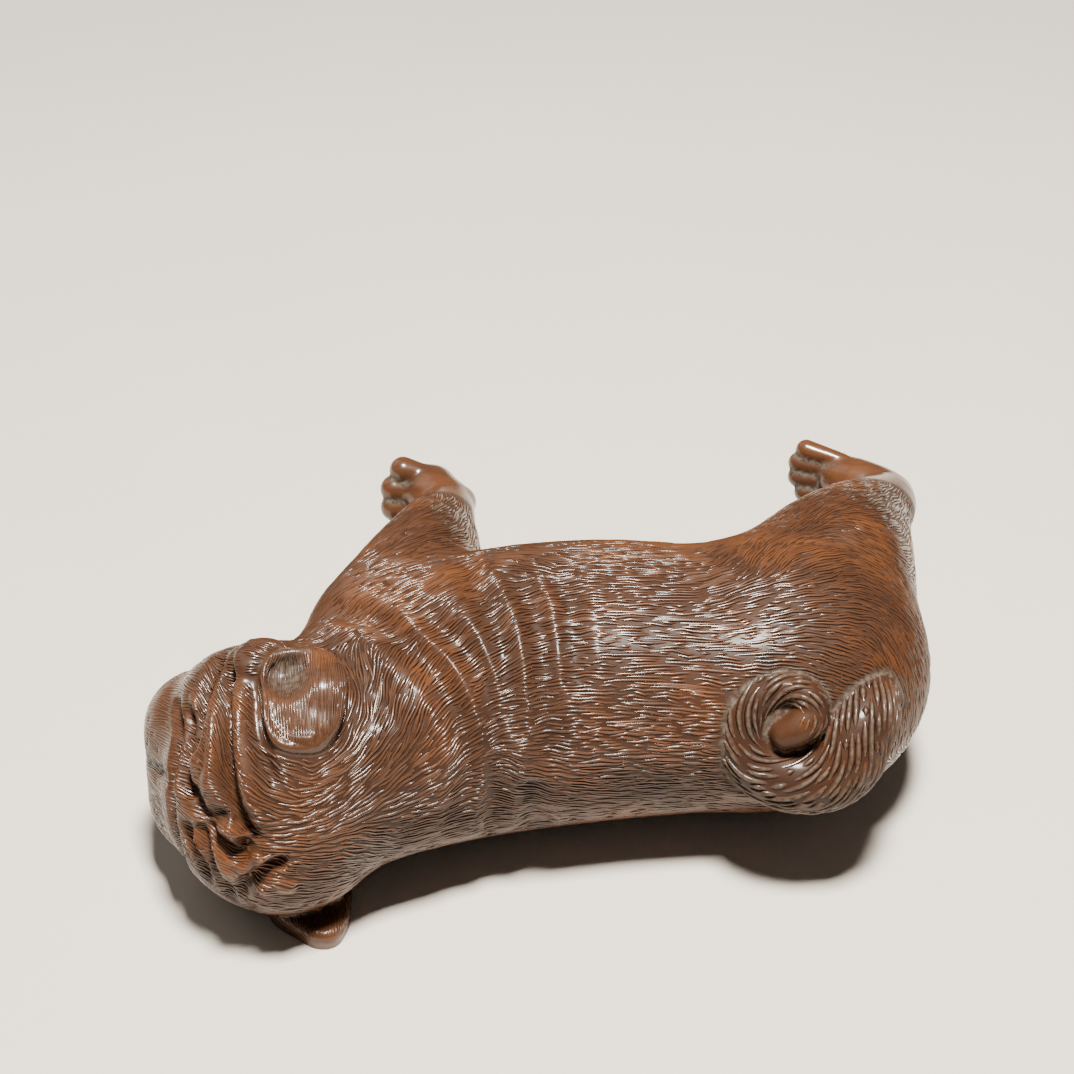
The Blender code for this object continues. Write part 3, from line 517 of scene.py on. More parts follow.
# How the coat lies: a place and the way its strokes run there
COAT_FLOW = [
    (5.9, 16.5, 27.1, 1.00, -0.00, -0.02), (12.5, 15.7, 26.8, 1.00, 0.03, -0.08),
    (5.8, 9.0, 26.5, 1.00, 0.04, -0.06), (14.0, 9.5, 26.0, 1.00, 0.03, -0.07),
    (5.7, 3.5, 23.3, 0.99, 0.07, -0.09), (13.7, 3.8, 22.4, 0.99, 0.00, -0.11),
    (5.7, 0.0, 17.9, 0.99, 0.13, -0.06), (12.3, 0.2, 13.1, 0.99, 0.11, -0.13),
    (17.2, 13.6, 26.6, 0.93, 0.36, 0.03), (22.0, 18.0, 26.8, 0.57, 0.82, -0.02),
    (26.3, 26.1, 25.2, 0.59, 0.79, -0.19), (23.7, 11.4, 26.5, 0.99, 0.16, 0.06),
    (29.1, 16.4, 26.8, 0.86, 0.47, -0.18), (30.4, 10.8, 25.3, 0.95, 0.19, -0.26),
    (34.2, 15.8, 24.5, 0.81, -0.03, -0.59), (34.4, 9.0, 21.9, 0.46, -0.46, -0.76),
    (30.1, 6.2, 22.6, 0.91, -0.01, -0.41), (33.0, 22.7, 24.8, 0.89, -0.18, -0.42),
    (35.1, 6.1, 17.4, 0.13, -0.24, -0.96), (-7.7, 14.1, 26.9, 0.73, 0.68, -0.00),
    (-3.9, 10.1, 27.1, 0.83, 0.55, 0.09), (-0.0, 11.4, 27.3, 0.97, 0.24, 0.01),
    (-9.0, 6.4, 26.2, 0.79, 0.58, 0.20), (-3.7, 5.0, 25.5, 0.83, 0.53, 0.20),
    (1.4, 4.5, 24.7, 0.99, 0.14, -0.03), (-6.0, 0.2, 22.2, 0.88, 0.41, 0.22),
    (-1.8, 0.6, 21.5, 0.98, 0.20, 0.01), (-1.6, -1.9, 15.0, 0.92, 0.18, -0.34),
    (2.2, -1.1, 13.1, 0.94, 0.19, -0.27), (-15.9, 17.6, 24.3, 0.91, 0.36, 0.22),
    (-13.1, 25.9, 22.5, 0.75, 0.65, -0.14), (-0.8, 17.0, 26.9, 0.95, -0.29, 0.10),
    (-24.0, -9.8, 17.0, 0.99, 0.15, 0.06), (-20.0, -8.1, 17.8, 0.83, 0.54, 0.11),
    (-16.7, -5.5, 18.7, 0.71, 0.64, 0.30), (-14.1, -3.1, 20.4, 0.58, 0.59, 0.57),
    (-12.2, -1.0, 22.2, 0.29, 0.74, 0.61), (-11.3, 1.5, 24.0, 0.35, 0.81, 0.47),
    (-22.8, -10.2, 14.6, 0.96, 0.19, -0.22), (-16.6, -7.2, 11.1, 0.64, 0.51, -0.57),
    (-10.9, -4.9, 12.9, 0.93, 0.36, -0.03), (-10.1, -4.0, 17.0, 0.88, 0.38, 0.29),
    (-9.2, -2.5, 19.6, 0.75, 0.48, 0.46), (-23.2, -10.7, 12.1, 0.90, 0.17, -0.41),
    (-25.6, -10.9, 9.5, 0.94, 0.03, -0.34), (-22.5, -6.5, 21.8, 0.91, -0.06, -0.40),
    (-19.6, -5.2, 21.4, 0.74, 0.67, 0.03), (-17.4, -2.4, 22.0, 0.39, 0.85, 0.36),
    (-16.9, 0.5, 23.4, 0.04, 0.90, 0.43), (-17.8, 4.0, 24.5, -0.30, 0.94, 0.16),
    (-15.2, 0.7, 23.5, 0.17, 0.86, 0.49), (-14.3, 3.4, 24.9, 0.38, 0.85, 0.35),
    (-27.3, -1.5, 25.2, 0.85, -0.53, 0.01), (-28.0, 2.1, 27.1, 0.97, -0.20, 0.17),
    (-26.9, -5.2, 23.4, 0.83, -0.51, -0.24), (-25.9, -8.2, 20.4, 0.81, -0.38, -0.45),
    (-24.5, -9.2, 18.8, 0.93, -0.10, -0.35), (-30.6, -2.0, 23.7, 0.69, -0.71, 0.12),
    (-30.3, -4.7, 22.4, 0.67, -0.73, -0.13), (-32.7, 3.1, 23.9, 0.60, -0.69, 0.40),
    (-28.8, -9.6, 16.7, 0.88, -0.40, -0.25), (-27.4, -10.7, 13.8, 0.98, -0.18, -0.04),
    (-31.6, -9.1, 13.7, 0.77, -0.56, -0.32), (-29.7, -10.2, 11.3, 0.81, -0.32, -0.49),
    (-31.8, -6.9, 18.9, 0.82, -0.51, 0.25), (-19.8, 10.6, 24.1, 0.82, 0.50, 0.27),
    (-14.6, 8.4, 25.9, 0.90, 0.37, 0.22), (-10.0, 1.5, 23.9, 0.83, 0.50, 0.26),
]


def axes_of(lean):
    """A level X axis, an axis up a plane that leans back by the lean, and the plane's normal."""
    angle = math.radians(lean)
    return np.array(
        [
            [1.0, 0.0, 0.0],
            [0.0, math.sin(angle), math.cos(angle)],
            [0.0, -math.cos(angle), math.sin(angle)],
        ]
    )


def head_axes():
    to_tail, right, up = axes_of(HEAD_ROLL)
    nod = math.radians(HEAD_NOD)
    forward = -to_tail * math.cos(nod) - up * math.sin(nod)
    crown = up * math.cos(nod) - to_tail * math.sin(nod)
    return np.array([forward, crown, right])


def from_head(place):
    """A place, or rows of them, given forward, up and to the right of the head's middle."""
    return np.asarray(HEAD_CENTRE) + np.asarray(place) @ head_axes()


def in_head(points):
    """Places forward, up and right of the head's middle."""
    return (points - np.asarray(HEAD_CENTRE)) @ head_axes().T


def smooth_path(stations, steps_each=LINE_STEPS):
    """A smooth curve through the stations, whatever goes with each of them included."""
    stations = np.asarray(stations, float)
    ends = np.vstack([2 * stations[0] - stations[1], stations, 2 * stations[-1] - stations[-2]])
    rows = []
    for start in range(len(stations) - 1):
        before, here, there, after = ends[start : start + 4]
        for t in np.arange(steps_each) / steps_each:
            linear = (there - before) * t
            square = (2 * before - 5 * here + 4 * there - after) * t**2
            cube = (3 * here - before - 3 * there + after) * t**3
            rows.append(0.5 * (2 * here + linear + square + cube))
    rows.append(stations[-1])
    return np.array(rows)


def smooth_share(share):
    share = np.clip(share, 0.0, 1.0)
    return share**2 * (3.0 - 2.0 * share)


def region_share(distance, fade):
    """1 where the distance is at or below nothing, 0 from the fade on."""
    return 1.0 - smooth_share(distance / fade)


def to_finished(points):
    return (points - MIDDLE) * SCALE


def to_laid_out(points):
    return points / SCALE + MIDDLE


# The masses, each with the fillet that joins it to what came before


@functools.cache
def round_masses():
    """Every limb, toe and turn of the tail as a path of balls, with its fillet."""
    masses = []
    for stations, fillet in (
        (RIGHT_FORELEG, RIGHT_FORELEG_FILLET),
        (LEFT_FORELEG, LEFT_LEG_FILLET),
        (RIGHT_HIND_LEG, RIGHT_HIND_LEG_FILLET),
        (LEFT_HIND_LEG, LEFT_LEG_FILLET),
        (WRIST_KNOB, WRIST_FILLET),
    ):
        path = smooth_path(stations)
        path[:, 3] *= LEG_GIRTH
        masses.append((path, fillet))
    for foot in FEET:
        masses.extend((toe, TOE_FILLET) for toe in toes(*foot))
    masses.append((tail_path(), TAIL_FILLET))
    return masses


def toes(middle_tip, pointing, across, radius, length):
    """Toes side by side as rolls that run back over the foot, the outer two set back."""
    ahead = np.asarray(pointing) / np.linalg.norm(pointing)
    pitch = np.asarray(across) * radius * TOE_SPREAD
    middle = (TOES - 1) / 2
    for number in range(TOES):
        set_back = OUTER_TOE_SET_BACK * radius * (abs(number - middle) > 1)
        tip = np.asarray(middle_tip) + pitch * (number - middle) - ahead * set_back
        root = np.asarray(middle_tip) + pitch * (number - middle) * TOE_TAPER - ahead * length
        yield smooth_path([(*root, radius * TOE_TAPER), (*tip, radius)], TOE_STEPS)


def tail_path():
    path = smooth_path(TAIL)
    places = np.asarray(TAIL_CENTRE) + path[:, :3] @ axes_of(TAIL_LEAN)
    return np.hstack([places, path[:, 3:] * TAIL_GIRTH])


@functools.cache
def flat_masses():
    """The head's rounded masses: a middle, half sizes, axes and fillet."""
    return [
        (from_head(middle), np.array(half_sizes), head_axes(), fillet)
        for middle, half_sizes, fillet in HEAD_MASSES.values()
    ]


def right_ear_axes():
    """Across the ear, along it and out of the skull."""
    axes = head_axes()
    half_sizes = np.asarray(HEAD_MASSES["skull"][1])
    outward = (np.asarray(RIGHT_EAR_MIDDLE) / half_sizes**2) @ axes
    outward /= np.linalg.norm(outward)
    level = np.cross(outward, (1.0, 0.0, 0.0))
    level /= np.linalg.norm(level)
    turn = math.radians(RIGHT_EAR_TURN)
    along = level * math.cos(turn) + np.cross(outward, level) * math.sin(turn)
    return np.array([np.cross(along, outward), along, outward])


# Distances, negative inside


def soft_union(first, second, fillet):
    share = np.clip(0.5 + 0.5 * (second - first) / fillet, 0.0, 1.0)
    return second + (first - second) * share - fillet * share * (1.0 - share)


def soft_overlap(first, second, fillet):
    return -soft_union(-first, -second, fillet)


def to_ball(points, middle, half_sizes, axes):
    """Distance to a ball drawn out along its own axes, close enough near its surface."""
    local = (points - middle) @ axes.T
    near = np.linalg.norm(local / half_sizes, axis=1)
    steep = np.linalg.norm(local / half_sizes**2, axis=1)
    return near * (near - 1.0) / np.maximum(steep, TINY)


def to_round_mass(points, path):
    """Distance to a path of balls, with cones between them."""
    nearest = np.full(len(points), FAR_AWAY)
    for start, end in zip(path[:-1], path[1:]):
        along = end[:3] - start[:3]
        length = np.linalg.norm(along)
        along = along / length
        taper = min(max((end[3] - start[3]) / length, -STEEPEST_TAPER), STEEPEST_TAPER)
        local = points - start[:3]
        reach = local @ along
        aside = np.linalg.norm(local - reach[:, None] * along, axis=1)
        met = np.clip(reach + taper * aside / math.sqrt(1.0 - taper**2), 0.0, length)
        nearest = np.minimum(nearest, np.hypot(aside, reach - met) - start[3] - taper * met)
    return nearest


def to_trunk(points):
    """Distance to the trunk, worked out where its flattened section is round again."""
    axes = axes_of(BODY_ROLL)
    to_round = np.array([1.0, 1.0 / TRUNK_FLATTENING, 1.0])
    path = smooth_path(TRUNK)
    path = np.hstack([path[:, :3] @ axes.T * to_round, path[:, 3:]])
    return to_round_mass(points @ axes.T * to_round, path) * TRUNK_FLATTENING


def in_right_ear(points):
    """Places across the right ear, along it and out of it, and how near its rim they are."""
    local = (points - from_head(RIGHT_EAR_MIDDLE)) @ right_ear_axes().T
    shares = np.abs(local[:, :2]) / RIGHT_EAR_HALF_SIZES
    return local, np.sum(shares**EAR_BOXINESS, axis=1) ** (1.0 / EAR_BOXINESS)


def to_right_ear(points, skull):
    """Distance to the ear as a flap of even thickness on the skull, with its relief."""
    local, rim = in_right_ear(points)
    side = (rim - 1.0) * min(RIGHT_EAR_HALF_SIZES)
    height = np.full(len(points), EAR_THICKNESS)
    for across, along, radius, rise in RIGHT_EAR_RELIEF:
        gap = np.hypot(local[:, 0] - across, local[:, 1] - along)
        height += rise * smooth_share(1.0 - gap / radius)
    flap = soft_overlap(side, skull - height, EAR_EDGE)
    return np.maximum(flap, -local[:, 2] - EAR_ROOT)


def to_left_ear(points):
    """Distance to the ear that lies flat on the table."""
    outline = np.asarray(LEFT_EAR)
    side = np.full(len(points), -SLAB_STAND_OFF)
    for start, end in zip(outline, np.roll(outline, -1, axis=0)):
        along = (end - start) / np.linalg.norm(end - start)
        outward = np.array([along[1], -along[0]])
        side = soft_overlap(side, (points[:, :2] - start) @ outward, EAR_CORNER)
    return soft_overlap(side, np.abs(points[:, 2]) - LEFT_EAR_THICKNESS, EAR_EDGE)


def around(points, low, high, reach):
    """Which points are inside a box widened by the reach."""
    return np.all((points > low - reach) & (points < high + reach), axis=1)


def form(points):
    """Distance to the dog's smooth form, before any fold is cut, for points near it."""
    dog = to_trunk(points)
    for middle, half_sizes, axes, fillet in flat_masses():
        size = max(half_sizes)
        near = around(points, middle - size, middle + size, REACH)
        ball = to_ball(points[near], middle, half_sizes, axes)
        dog[near] = soft_union(dog[near], ball, fillet)
    middle = from_head(RIGHT_EAR_MIDDLE)
    near = around(points, middle, middle, max(RIGHT_EAR_HALF_SIZES) + REACH)
    dog[near] = soft_union(dog[near], to_right_ear(points[near], dog[near]), EAR_FILLET)
    low, high = np.min(LEFT_EAR, axis=0), np.max(LEFT_EAR, axis=0)
    near = around(points[:, :2], low, high, REACH)
    dog[near] = soft_union(dog[near], to_left_ear(points[near]), EAR_FILLET)
    for path, fillet in round_masses():
        places, girth = path[:, :3], path[:, 3].max()
        near = around(points, places.min(axis=0), places.max(axis=0), girth + REACH)
        dog[near] = soft_union(dog[near], to_round_mass(points[near], path), fillet)
    return dog


def slope(points):
    """The form's outward direction at each point."""
    towards = np.zeros_like(points)
    for axis in range(3):
        offset = np.zeros(3)
        offset[axis] = SLOPE_STEP
        towards[:, axis] = form(points + offset) - form(points - offset)
    return towards / np.maximum(np.linalg.norm(towards, axis=1, keepdims=True), TINY)


def onto_form(points, passes=3):
    for _ in range(passes):
        points = points - slope(points) * form(points)[:, None]
    return points


# Folds, rolls and the finer cuts


def closeness(points, line, width):
    """1 on the line, 0 at its width and beyond, fading towards the line's two ends."""
    nearest = np.full(len(points), FAR_AWAY)
    place = np.zeros(len(points))
    count = len(line) - 1
    for number, (start, end) in enumerate(zip(line[:-1], line[1:])):
        along = end - start
        share = np.clip((points - start) @ along / (along @ along), 0.0, 1.0)
        gap = np.linalg.norm(points - start - share[:, None] * along, axis=1)
        closer = gap < nearest
        nearest = np.where(closer, gap, nearest)
        place = np.where(closer, (number + share) / count, place)
    fade = smooth_share(np.minimum(place, 1.0 - place) / FOLD_FADE)
    return smooth_share(1.0 - nearest / width) * fade


def lines_of(table, depth, width, place=from_head):
    """Each line of a table as places in the row's frame, its depth or height and its width."""
    return [
        (place(smooth_path(stations)), share * depth, width) for share, stations in table.values()
    ]


def folds(face_depth, face_width, neck_depth, neck_width):
    neck = lines_of(NECK_FOLDS, neck_depth, neck_width, place=np.asarray)
    return lines_of(FACE_FOLDS, face_depth, face_width) + neck


def fine_cuts():
    """Each small cut as places in the row's frame, its depth and its width."""
    return [
        (from_head(smooth_path(stations)), depth, width)
        for depth, width, stations in FINE_CUTS.values()
    ]


def along_lines(points, lines):
    """The greatest depth or height that any of the lines gives each point."""
    reached = np.zeros(len(points))
    ends = np.cumsum([len(places) for places, _, _ in lines])[:-1]
    laid = np.split(onto_form(np.vstack([places for places, _, _ in lines])), ends)
    for line, (_, most, width) in zip(laid, lines):
        near = around(points, line.min(axis=0), line.max(axis=0), width)
        reached[near] = np.maximum(reached[near], most * closeness(points[near], line, width))
    return reached


def on_muzzle(points):
    """1 on the lips and the nose, 0 behind the first fold of the face."""
    ahead = in_head(points)
    return smooth_share((ahead[:, 0] + MUZZLE_LEAN * ahead[:, 1] - MUZZLE_EDGE) / MUZZLE_FADE)


def dimple_depth(points, draw):
    """Small pits of the whiskers, scattered over the lips."""
    depth = np.zeros(len(points))
    middle, radius = MUZZLE_BALL
    for _ in range(DIMPLES):
        aim = np.array([draw.uniform(*ends) for ends in DIMPLE_AIMS])
        local = np.array(middle) + radius * aim / np.linalg.norm(aim)
        place = onto_form(from_head(local)[None])
        gap = np.linalg.norm(points - place, axis=1)
        depth = np.maximum(depth, DIMPLE_DEPTH * smooth_share(1.0 - gap / DIMPLE_RADIUS))
    return depth * on_muzzle(points)


def from_ear_place(points, place, stretch=1.0):
    """How far each point is from a place across and along the right ear."""
    local, _ = in_right_ear(points)
    return np.hypot(local[:, 0] - place[0], (local[:, 1] - place[1]) * stretch)


def ear_hollow(points):
    """1 in the hollow at the top of the right ear."""
    gap = from_ear_place(points, EAR_HOLLOW_MIDDLE, EAR_HOLLOW_SHARE)
    return region_share(gap - EAR_HOLLOW_RADIUS, EAR_HOLLOW_FADE)


def ear_rise(points):
    """Tilts the right ear's face, raises its rim and sinks its hollow."""
    local, rim = in_right_ear(points)
    inside = region_share(rim - EAR_FACE, 1.0 - EAR_FACE) * (local[:, 2] > -EAR_ROOT)
    beside_rim = np.abs(rim - EAR_RIM_PLACE) - EAR_RIM_HALF_WIDTH
    edge = region_share(beside_rim, EAR_RIM_FADE) * (local[:, 0] < EAR_RIM_END)
    rise = EAR_TILT * local[:, 0] + EAR_LIFT * local[:, 1] + EAR_RIM_HEIGHT * edge
    return (rise - EAR_HOLLOW_DEPTH * ear_hollow(points)) * inside


# The block and the work on it


def add_ball(block, middle, half_sizes, axes):
    place = np.eye(4)
    place[:3, :3] = axes.T * half_sizes
    place[:3, 3] = middle
    bmesh.ops.create_icosphere(block, subdivisions=2, radius=1.0, matrix=Matrix(place))


def add_slab(block, outline, half_thickness):
    """A flat slab about Z = 0, from its outline seen from above."""
    low = [block.verts.new((*corner, -half_thickness)) for corner in outline]
    high = [block.verts.new((*corner, half_thickness)) for corner in outline]
    block.faces.new(low[::-1])
    block.faces.new(high)
    for here in range(len(outline)):
        there = (here + 1) % len(outline)
        block.faces.new((low[here], low[there], high[there], high[here]))


def rough_block():
    """Balls along every mass, as one mesh of overlapping shells."""
    block = bmesh.new()
    level = np.eye(3)
    axes = axes_of(BODY_ROLL)
    for row in smooth_path(TRUNK, TRUNK_STEPS):
        add_ball(block, row[:3], row[3] * np.array([1.0, TRUNK_FLATTENING, 1.0]), axes)
    for middle, half_sizes, turn, _ in flat_masses():
        add_ball(block, middle, half_sizes, turn)
    across, along = RIGHT_EAR_HALF_SIZES
    ear_sizes = np.array([across, along, 2.0 * EAR_THICKNESS])
    add_ball(block, from_head(RIGHT_EAR_MIDDLE), ear_sizes, right_ear_axes())
    add_slab(block, LEFT_EAR, LEFT_EAR_THICKNESS)
    for path, _ in round_masses():
        for row in path:
            add_ball(block, row[:3], row[3], level)
    mesh = bpy.data.meshes.new(CARVED_BLOCK)
    block.to_mesh(mesh)
    block.free()
    return mesh


def coordinates(mesh):
    flat = np.empty(len(mesh.vertices) * 3)
    mesh.vertices.foreach_get("co", flat)
    return flat.reshape(-1, 3)


def move_to(mesh, points):
    mesh.vertices.foreach_set("co", points.ravel())
    mesh.update()


def apply_modifiers(dog):
    graph = bpy.context.evaluated_depsgraph_get()
    worked = bpy.data.meshes.new_from_object(dog.evaluated_get(graph))
    dog.modifiers.clear()
    dog.data = worked


def remesh(dog, voxel):
    modifier = dog.modifiers.new("one_skin", "REMESH")
    modifier.mode = "VOXEL"
    modifier.voxel_size = voxel
    apply_modifiers(dog)


def saw_flat(mesh):
    """Cuts the dog level with the table and closes the cut."""
    cut = bmesh.new()
    cut.from_mesh(mesh)
    everything = cut.verts[:] + cut.edges[:] + cut.faces[:]
    bmesh.ops.bisect_plane(
        cut,
        geom=everything,
        dist=SAW_TOLERANCE,
        plane_co=(0, 0, 0),
        plane_no=(0, 0, 1),
        clear_inner=True,
    )
    rims = [edge for edge in cut.edges if edge.is_boundary]
    bmesh.ops.holes_fill(cut, edges=rims, sides=0)
    bmesh.ops.triangulate(cut, faces=cut.faces[:])
    bmesh.ops.recalc_face_normals(cut, faces=cut.faces[:])
    cut.to_mesh(mesh)
    cut.free()


def face_outwards(mesh):
    """Turns every face outwards and splits it into triangles."""
    turned = bmesh.new()
    turned.from_mesh(mesh)
    bmesh.ops.recalc_face_normals(turned, faces=turned.faces[:])
    bmesh.ops.triangulate(turned, faces=turned.faces[:])
    turned.to_mesh(mesh)
    turned.free()


def carve_skin(voxel, fold_depth, fold_width):
    """The dog's skin at its full fineness, as an object in laid-out millimetres."""
    dog = bpy.data.objects.new("dog_skin", rough_block())
    bpy.context.scene.collection.objects.link(dog)
    remesh(dog, BLOCK_VOXEL)
    move_to(dog.data, onto_form(coordinates(dog.data), passes=PASSES_ON_BLOCK))
    remesh(dog, voxel)
    points = onto_form(coordinates(dog.data), passes=PASSES_ON_SKIN)
    outward = slope(points)
    cuts = folds(fold_depth, fold_width, NECK_FOLD_DEPTH, NECK_FOLD_WIDTH)
    depth = np.maximum(along_lines(points, cuts), along_lines(points, fine_cuts()))
    rolls = lines_of(FACE_ROLLS, 1.0, ROLL_WIDTH)
    height = along_lines(points, rolls) - dimple_depth(points, random.Random(DIMPLE_SEED))
    height += ear_rise(points)
    move_to(dog.data, points + outward * (height - depth)[:, None])
    thin = dog.modifiers.new("fewer_faces", "DECIMATE")
    thin.ratio = min(1.0, SKIN_TRIANGLES / (2 * len(dog.data.polygons)))
    apply_modifiers(dog)
    saw_flat(dog.data)
    return dog


# Regions of the skin, 1 inside and 0 outside


def tail_share(points):
    return region_share(to_round_mass(points, tail_path()) - TAIL_MARGIN, TAIL_MARGIN)


def ear_share(points):
    """The share of either ear in each point."""
    local, rim = in_right_ear(points)
    right = region_share(rim - 1.0, RIGHT_EAR_FADE) * (local[:, 2] > -EAR_ROOT)
    left = region_share(to_left_ear(points) - LEFT_EAR_MARGIN, LEFT_EAR_FADE)
    return np.maximum(right, left)


def foot_share(points):
    """The share of the paws, and of the lower legs that run out smooth into them."""
    share = np.zeros(len(points))
    for path in LEGS:
        ankle = path[2]
        beyond = smooth_share((points[:, 1] - ankle[1]) / FOOT_FADE)
        gap = np.linalg.norm(points[:, ::2] - (ankle[0], ankle[2]), axis=1)
        share = np.maximum(share, beyond * region_share(gap - FOOT_RADIUS, FOOT_EDGE))
    return share


def face_share(points):
    """The share of the face before its brow, where the strokes are finer."""
    ahead, up, _ = in_head(points).T
    return smooth_share(ahead + BROW_LEAN * up - BROW_LINE)


def nose_share(points):
    middle, half_sizes, _ = HEAD_MASSES["nose"]
    beyond = np.linalg.norm((in_head(points) - middle) / half_sizes, axis=1) - NOSE_MARGIN
    return region_share(beyond, NOSE_FADE)


def coat_share(points):
    """Where strokes of the coat lie: not on the ears, tail, paws or nose, nor underneath."""
    feet = smooth_share((foot_share(points) - BARE_FOOT) / BARE_FOOT_FADE)
    bare = np.maximum.reduce([tail_share(points), ear_share(points), feet, nose_share(points)])
    return (1.0 - bare) * smooth_share((points[:, 2] - COAT_BOTTOM) / COAT_BOTTOM_FADE)


def stroke_share(points):
    """How much of the skin at each point is the ground between strokes, which takes painted shade
    and gathered stain.
    """
    share = coat_share(points) * (1.0 - (1.0 - FACE_GROUND) * face_share(points))
    bare = np.full(len(points), BARE_GROUND)
    return np.maximum.reduce([share, tail_share(points), EAR_GROUND * ear_share(points), bare])


# Painted shade, stain, dust and wear


def write_attribute(mesh, name, values):
    mesh.attributes.new(name, "FLOAT", "POINT").data.foreach_set("value", values)


def mark_shade_and_wear(mesh, points):
    """Writes the painted shade, gathered stain and dust of the hollows, and how worn the wood is,
    at each point.
    """
    shade_and_stain_lines = folds(1.0, FACE_SHADE_AND_STAIN_WIDTH, NECK_SHADE_AND_STAIN, NECK_SHADE_AND_STAIN_WIDTH) + fine_cuts()
    cuts = along_lines(points, shade_and_stain_lines)
    ears = ear_share(points)
    tail = tail_path()
    to_tail = to_round_mass(points, tail)
    # Painted shade on the rump round the tail
    shade_beside_tail = region_share(np.abs(to_tail) - TAIL_SHADE_START, TAIL_SHADE_WIDTH)
    shade_beside_tail = shade_beside_tail * (to_tail > TAIL_SURFACE)
    # Painted shade and dust in the right ear's hollow, and both ears dulled all over
    in_ears = [EAR_HOLLOW_SHADE_AND_DUST * ear_hollow(points) * ears, EAR_DULLING * ears]
    # hollow: painted shade with the stain and dust that gather in the cuts; painted shade in the
    # ear's hollow, beside the tail and between the toes
    hollow = np.maximum.reduce([cuts, *in_ears, shade_beside_tail, toe_gap(points)])
    rolls = along_lines(points, lines_of(FACE_ROLLS, 1.0, ROLL_WIDTH))
    from_tip = np.linalg.norm(points - tail[-3, :3], axis=1)
    tip = region_share(from_tip - TIP_RADIUS, TIP_WEAR_FADE)
    lobe = region_share(from_ear_place(points, EAR_LOBE_MIDDLE) - LOBE_RADIUS, LOBE_FADE) * ears
    crest = np.maximum.reduce([rolls * (1 - cuts), TIP_WEAR * tip, TIP_WEAR * lobe])
    write_attribute(mesh, "hollow", np.clip(hollow, 0, 1))
    write_attribute(mesh, "crest", np.clip(crest, 0, 1))


def toe_gap(points):
    """1 in the creases between the toes, where shade is painted."""
    gaps = np.zeros(len(points))
    for foot in FEET:
        to_toes = np.sort([to_round_mass(points, toe) for toe in toes(*foot)], axis=0)
        pinch = region_share(to_toes[1] - to_toes[0] - TOE_GAP, TOE_GAP_FADE)
        gaps = np.maximum(gaps, pinch * region_share(to_toes[0] - TOE_GAP_HEIGHT, TOE_GAP_TOP))
    return gaps


# The way the strokes run and how bold they are


def flow_of_limbs(points):
    """The way the coat runs where no stroke in the table is near."""
    flow = np.tile([1.0, 0.0, 0.0], (len(points), 1))
    back = -head_axes()[0]
    from_middle = np.linalg.norm(points - HEAD_CENTRE, axis=1)
    share = smooth_share((HEAD_RADIUS - from_middle) / HEAD_FADE)
    flow = flow * (1.0 - share[:, None]) + back * share[:, None]
    for path in LEGS:
        path = smooth_path(path)[LINE_STEPS:]
        for start, end in zip(path[:-1], path[1:]):
            down = (end[:3] - start[:3]) / np.linalg.norm(end[:3] - start[:3])
            gap = np.linalg.norm(points - start[:3], axis=1)
            share = region_share(gap - start[3] * LEG_REACH, LEG_EDGE)[:, None]
            flow = flow * (1.0 - share) + down * share
    return flow


def coat_flow(points, outward):
    """The way the coat runs at each point, along the skin."""
    table = np.reshape(COAT_FLOW, (-1, 6))
    flow = flow_of_limbs(points) / FLOW_REACH**4
    for row in table:
        gap = np.sum((points - row[:3]) ** 2, axis=1)
        flow += row[3:] / (gap[:, None] + FLOW_SOFTNESS) ** 2
    return along_skin(waved(along_skin(flow, outward), outward, points), outward)


def waved(flow, outward, points):
    """Turns the flow a little to and fro, so that strokes run in gentle waves."""
    x, y, z = points.T
    wave = np.sin(WAVE_ALONG[0] * x + WAVE_ALONG[1] * y)
    weaker = np.sin(WAVE_ACROSS[0] * z + WAVE_ACROSS[1] * x + WAVE_ACROSS[2] * y)
    turn = WAVE * (wave + WEAKER_WAVE * weaker)
    return flow * np.cos(turn)[:, None] + np.cross(outward, flow) * np.sin(turn)[:, None]


def along_skin(flow, outward):
    flow = flow - outward * np.sum(flow * outward, axis=1, keepdims=True)
    return flow / np.maximum(np.linalg.norm(flow, axis=1, keepdims=True), TINY)


def tail_flow(points, outward):
    """Strands that run along the tail and twist round it."""
    path = tail_path()
    gaps = np.linalg.norm(points[:, None] - path[None, :, :3], axis=2) - path[None, :, 3]
    nearest = np.argmin(gaps, axis=1)
    tangent = np.gradient(path[:, :3], axis=0)[nearest]
    tangent = along_skin(tangent, outward)
    turn = math.radians(TAIL_TWIST)
    return tangent * math.cos(turn) + np.cross(outward, tangent) * math.sin(turn)


def ear_flow(points, outward):
    """Fine strokes that run the length of the ear."""
    return along_skin(np.tile(-right_ear_axes()[1], (len(points), 1)), outward)


def coat_girth(points):
    """How bold the strokes are: full on the body, fine down the legs and on the lips."""
    before_foot = 1.0 - (1.0 - FOOT_GIRTH) * smooth_share(foot_share(points) / FINE_FOOT)
    return before_foot * (1.0 - (1.0 - MUZZLE_GIRTH) * on_muzzle(points))


def strand_girth(points):
    """The strands of the tail run out before its smooth tip."""
    tip = tail_path()[-2, :3]
    gap = np.linalg.norm(points - tip, axis=1)
    return TIP_GIRTH + (1.0 - TIP_GIRTH) * smooth_share((gap - TIP_RADIUS) / TIP_GIRTH_FADE)


def ear_girth(points):
    return np.full(len(points), EAR_GIRTH)


# Strokes laid over the skin


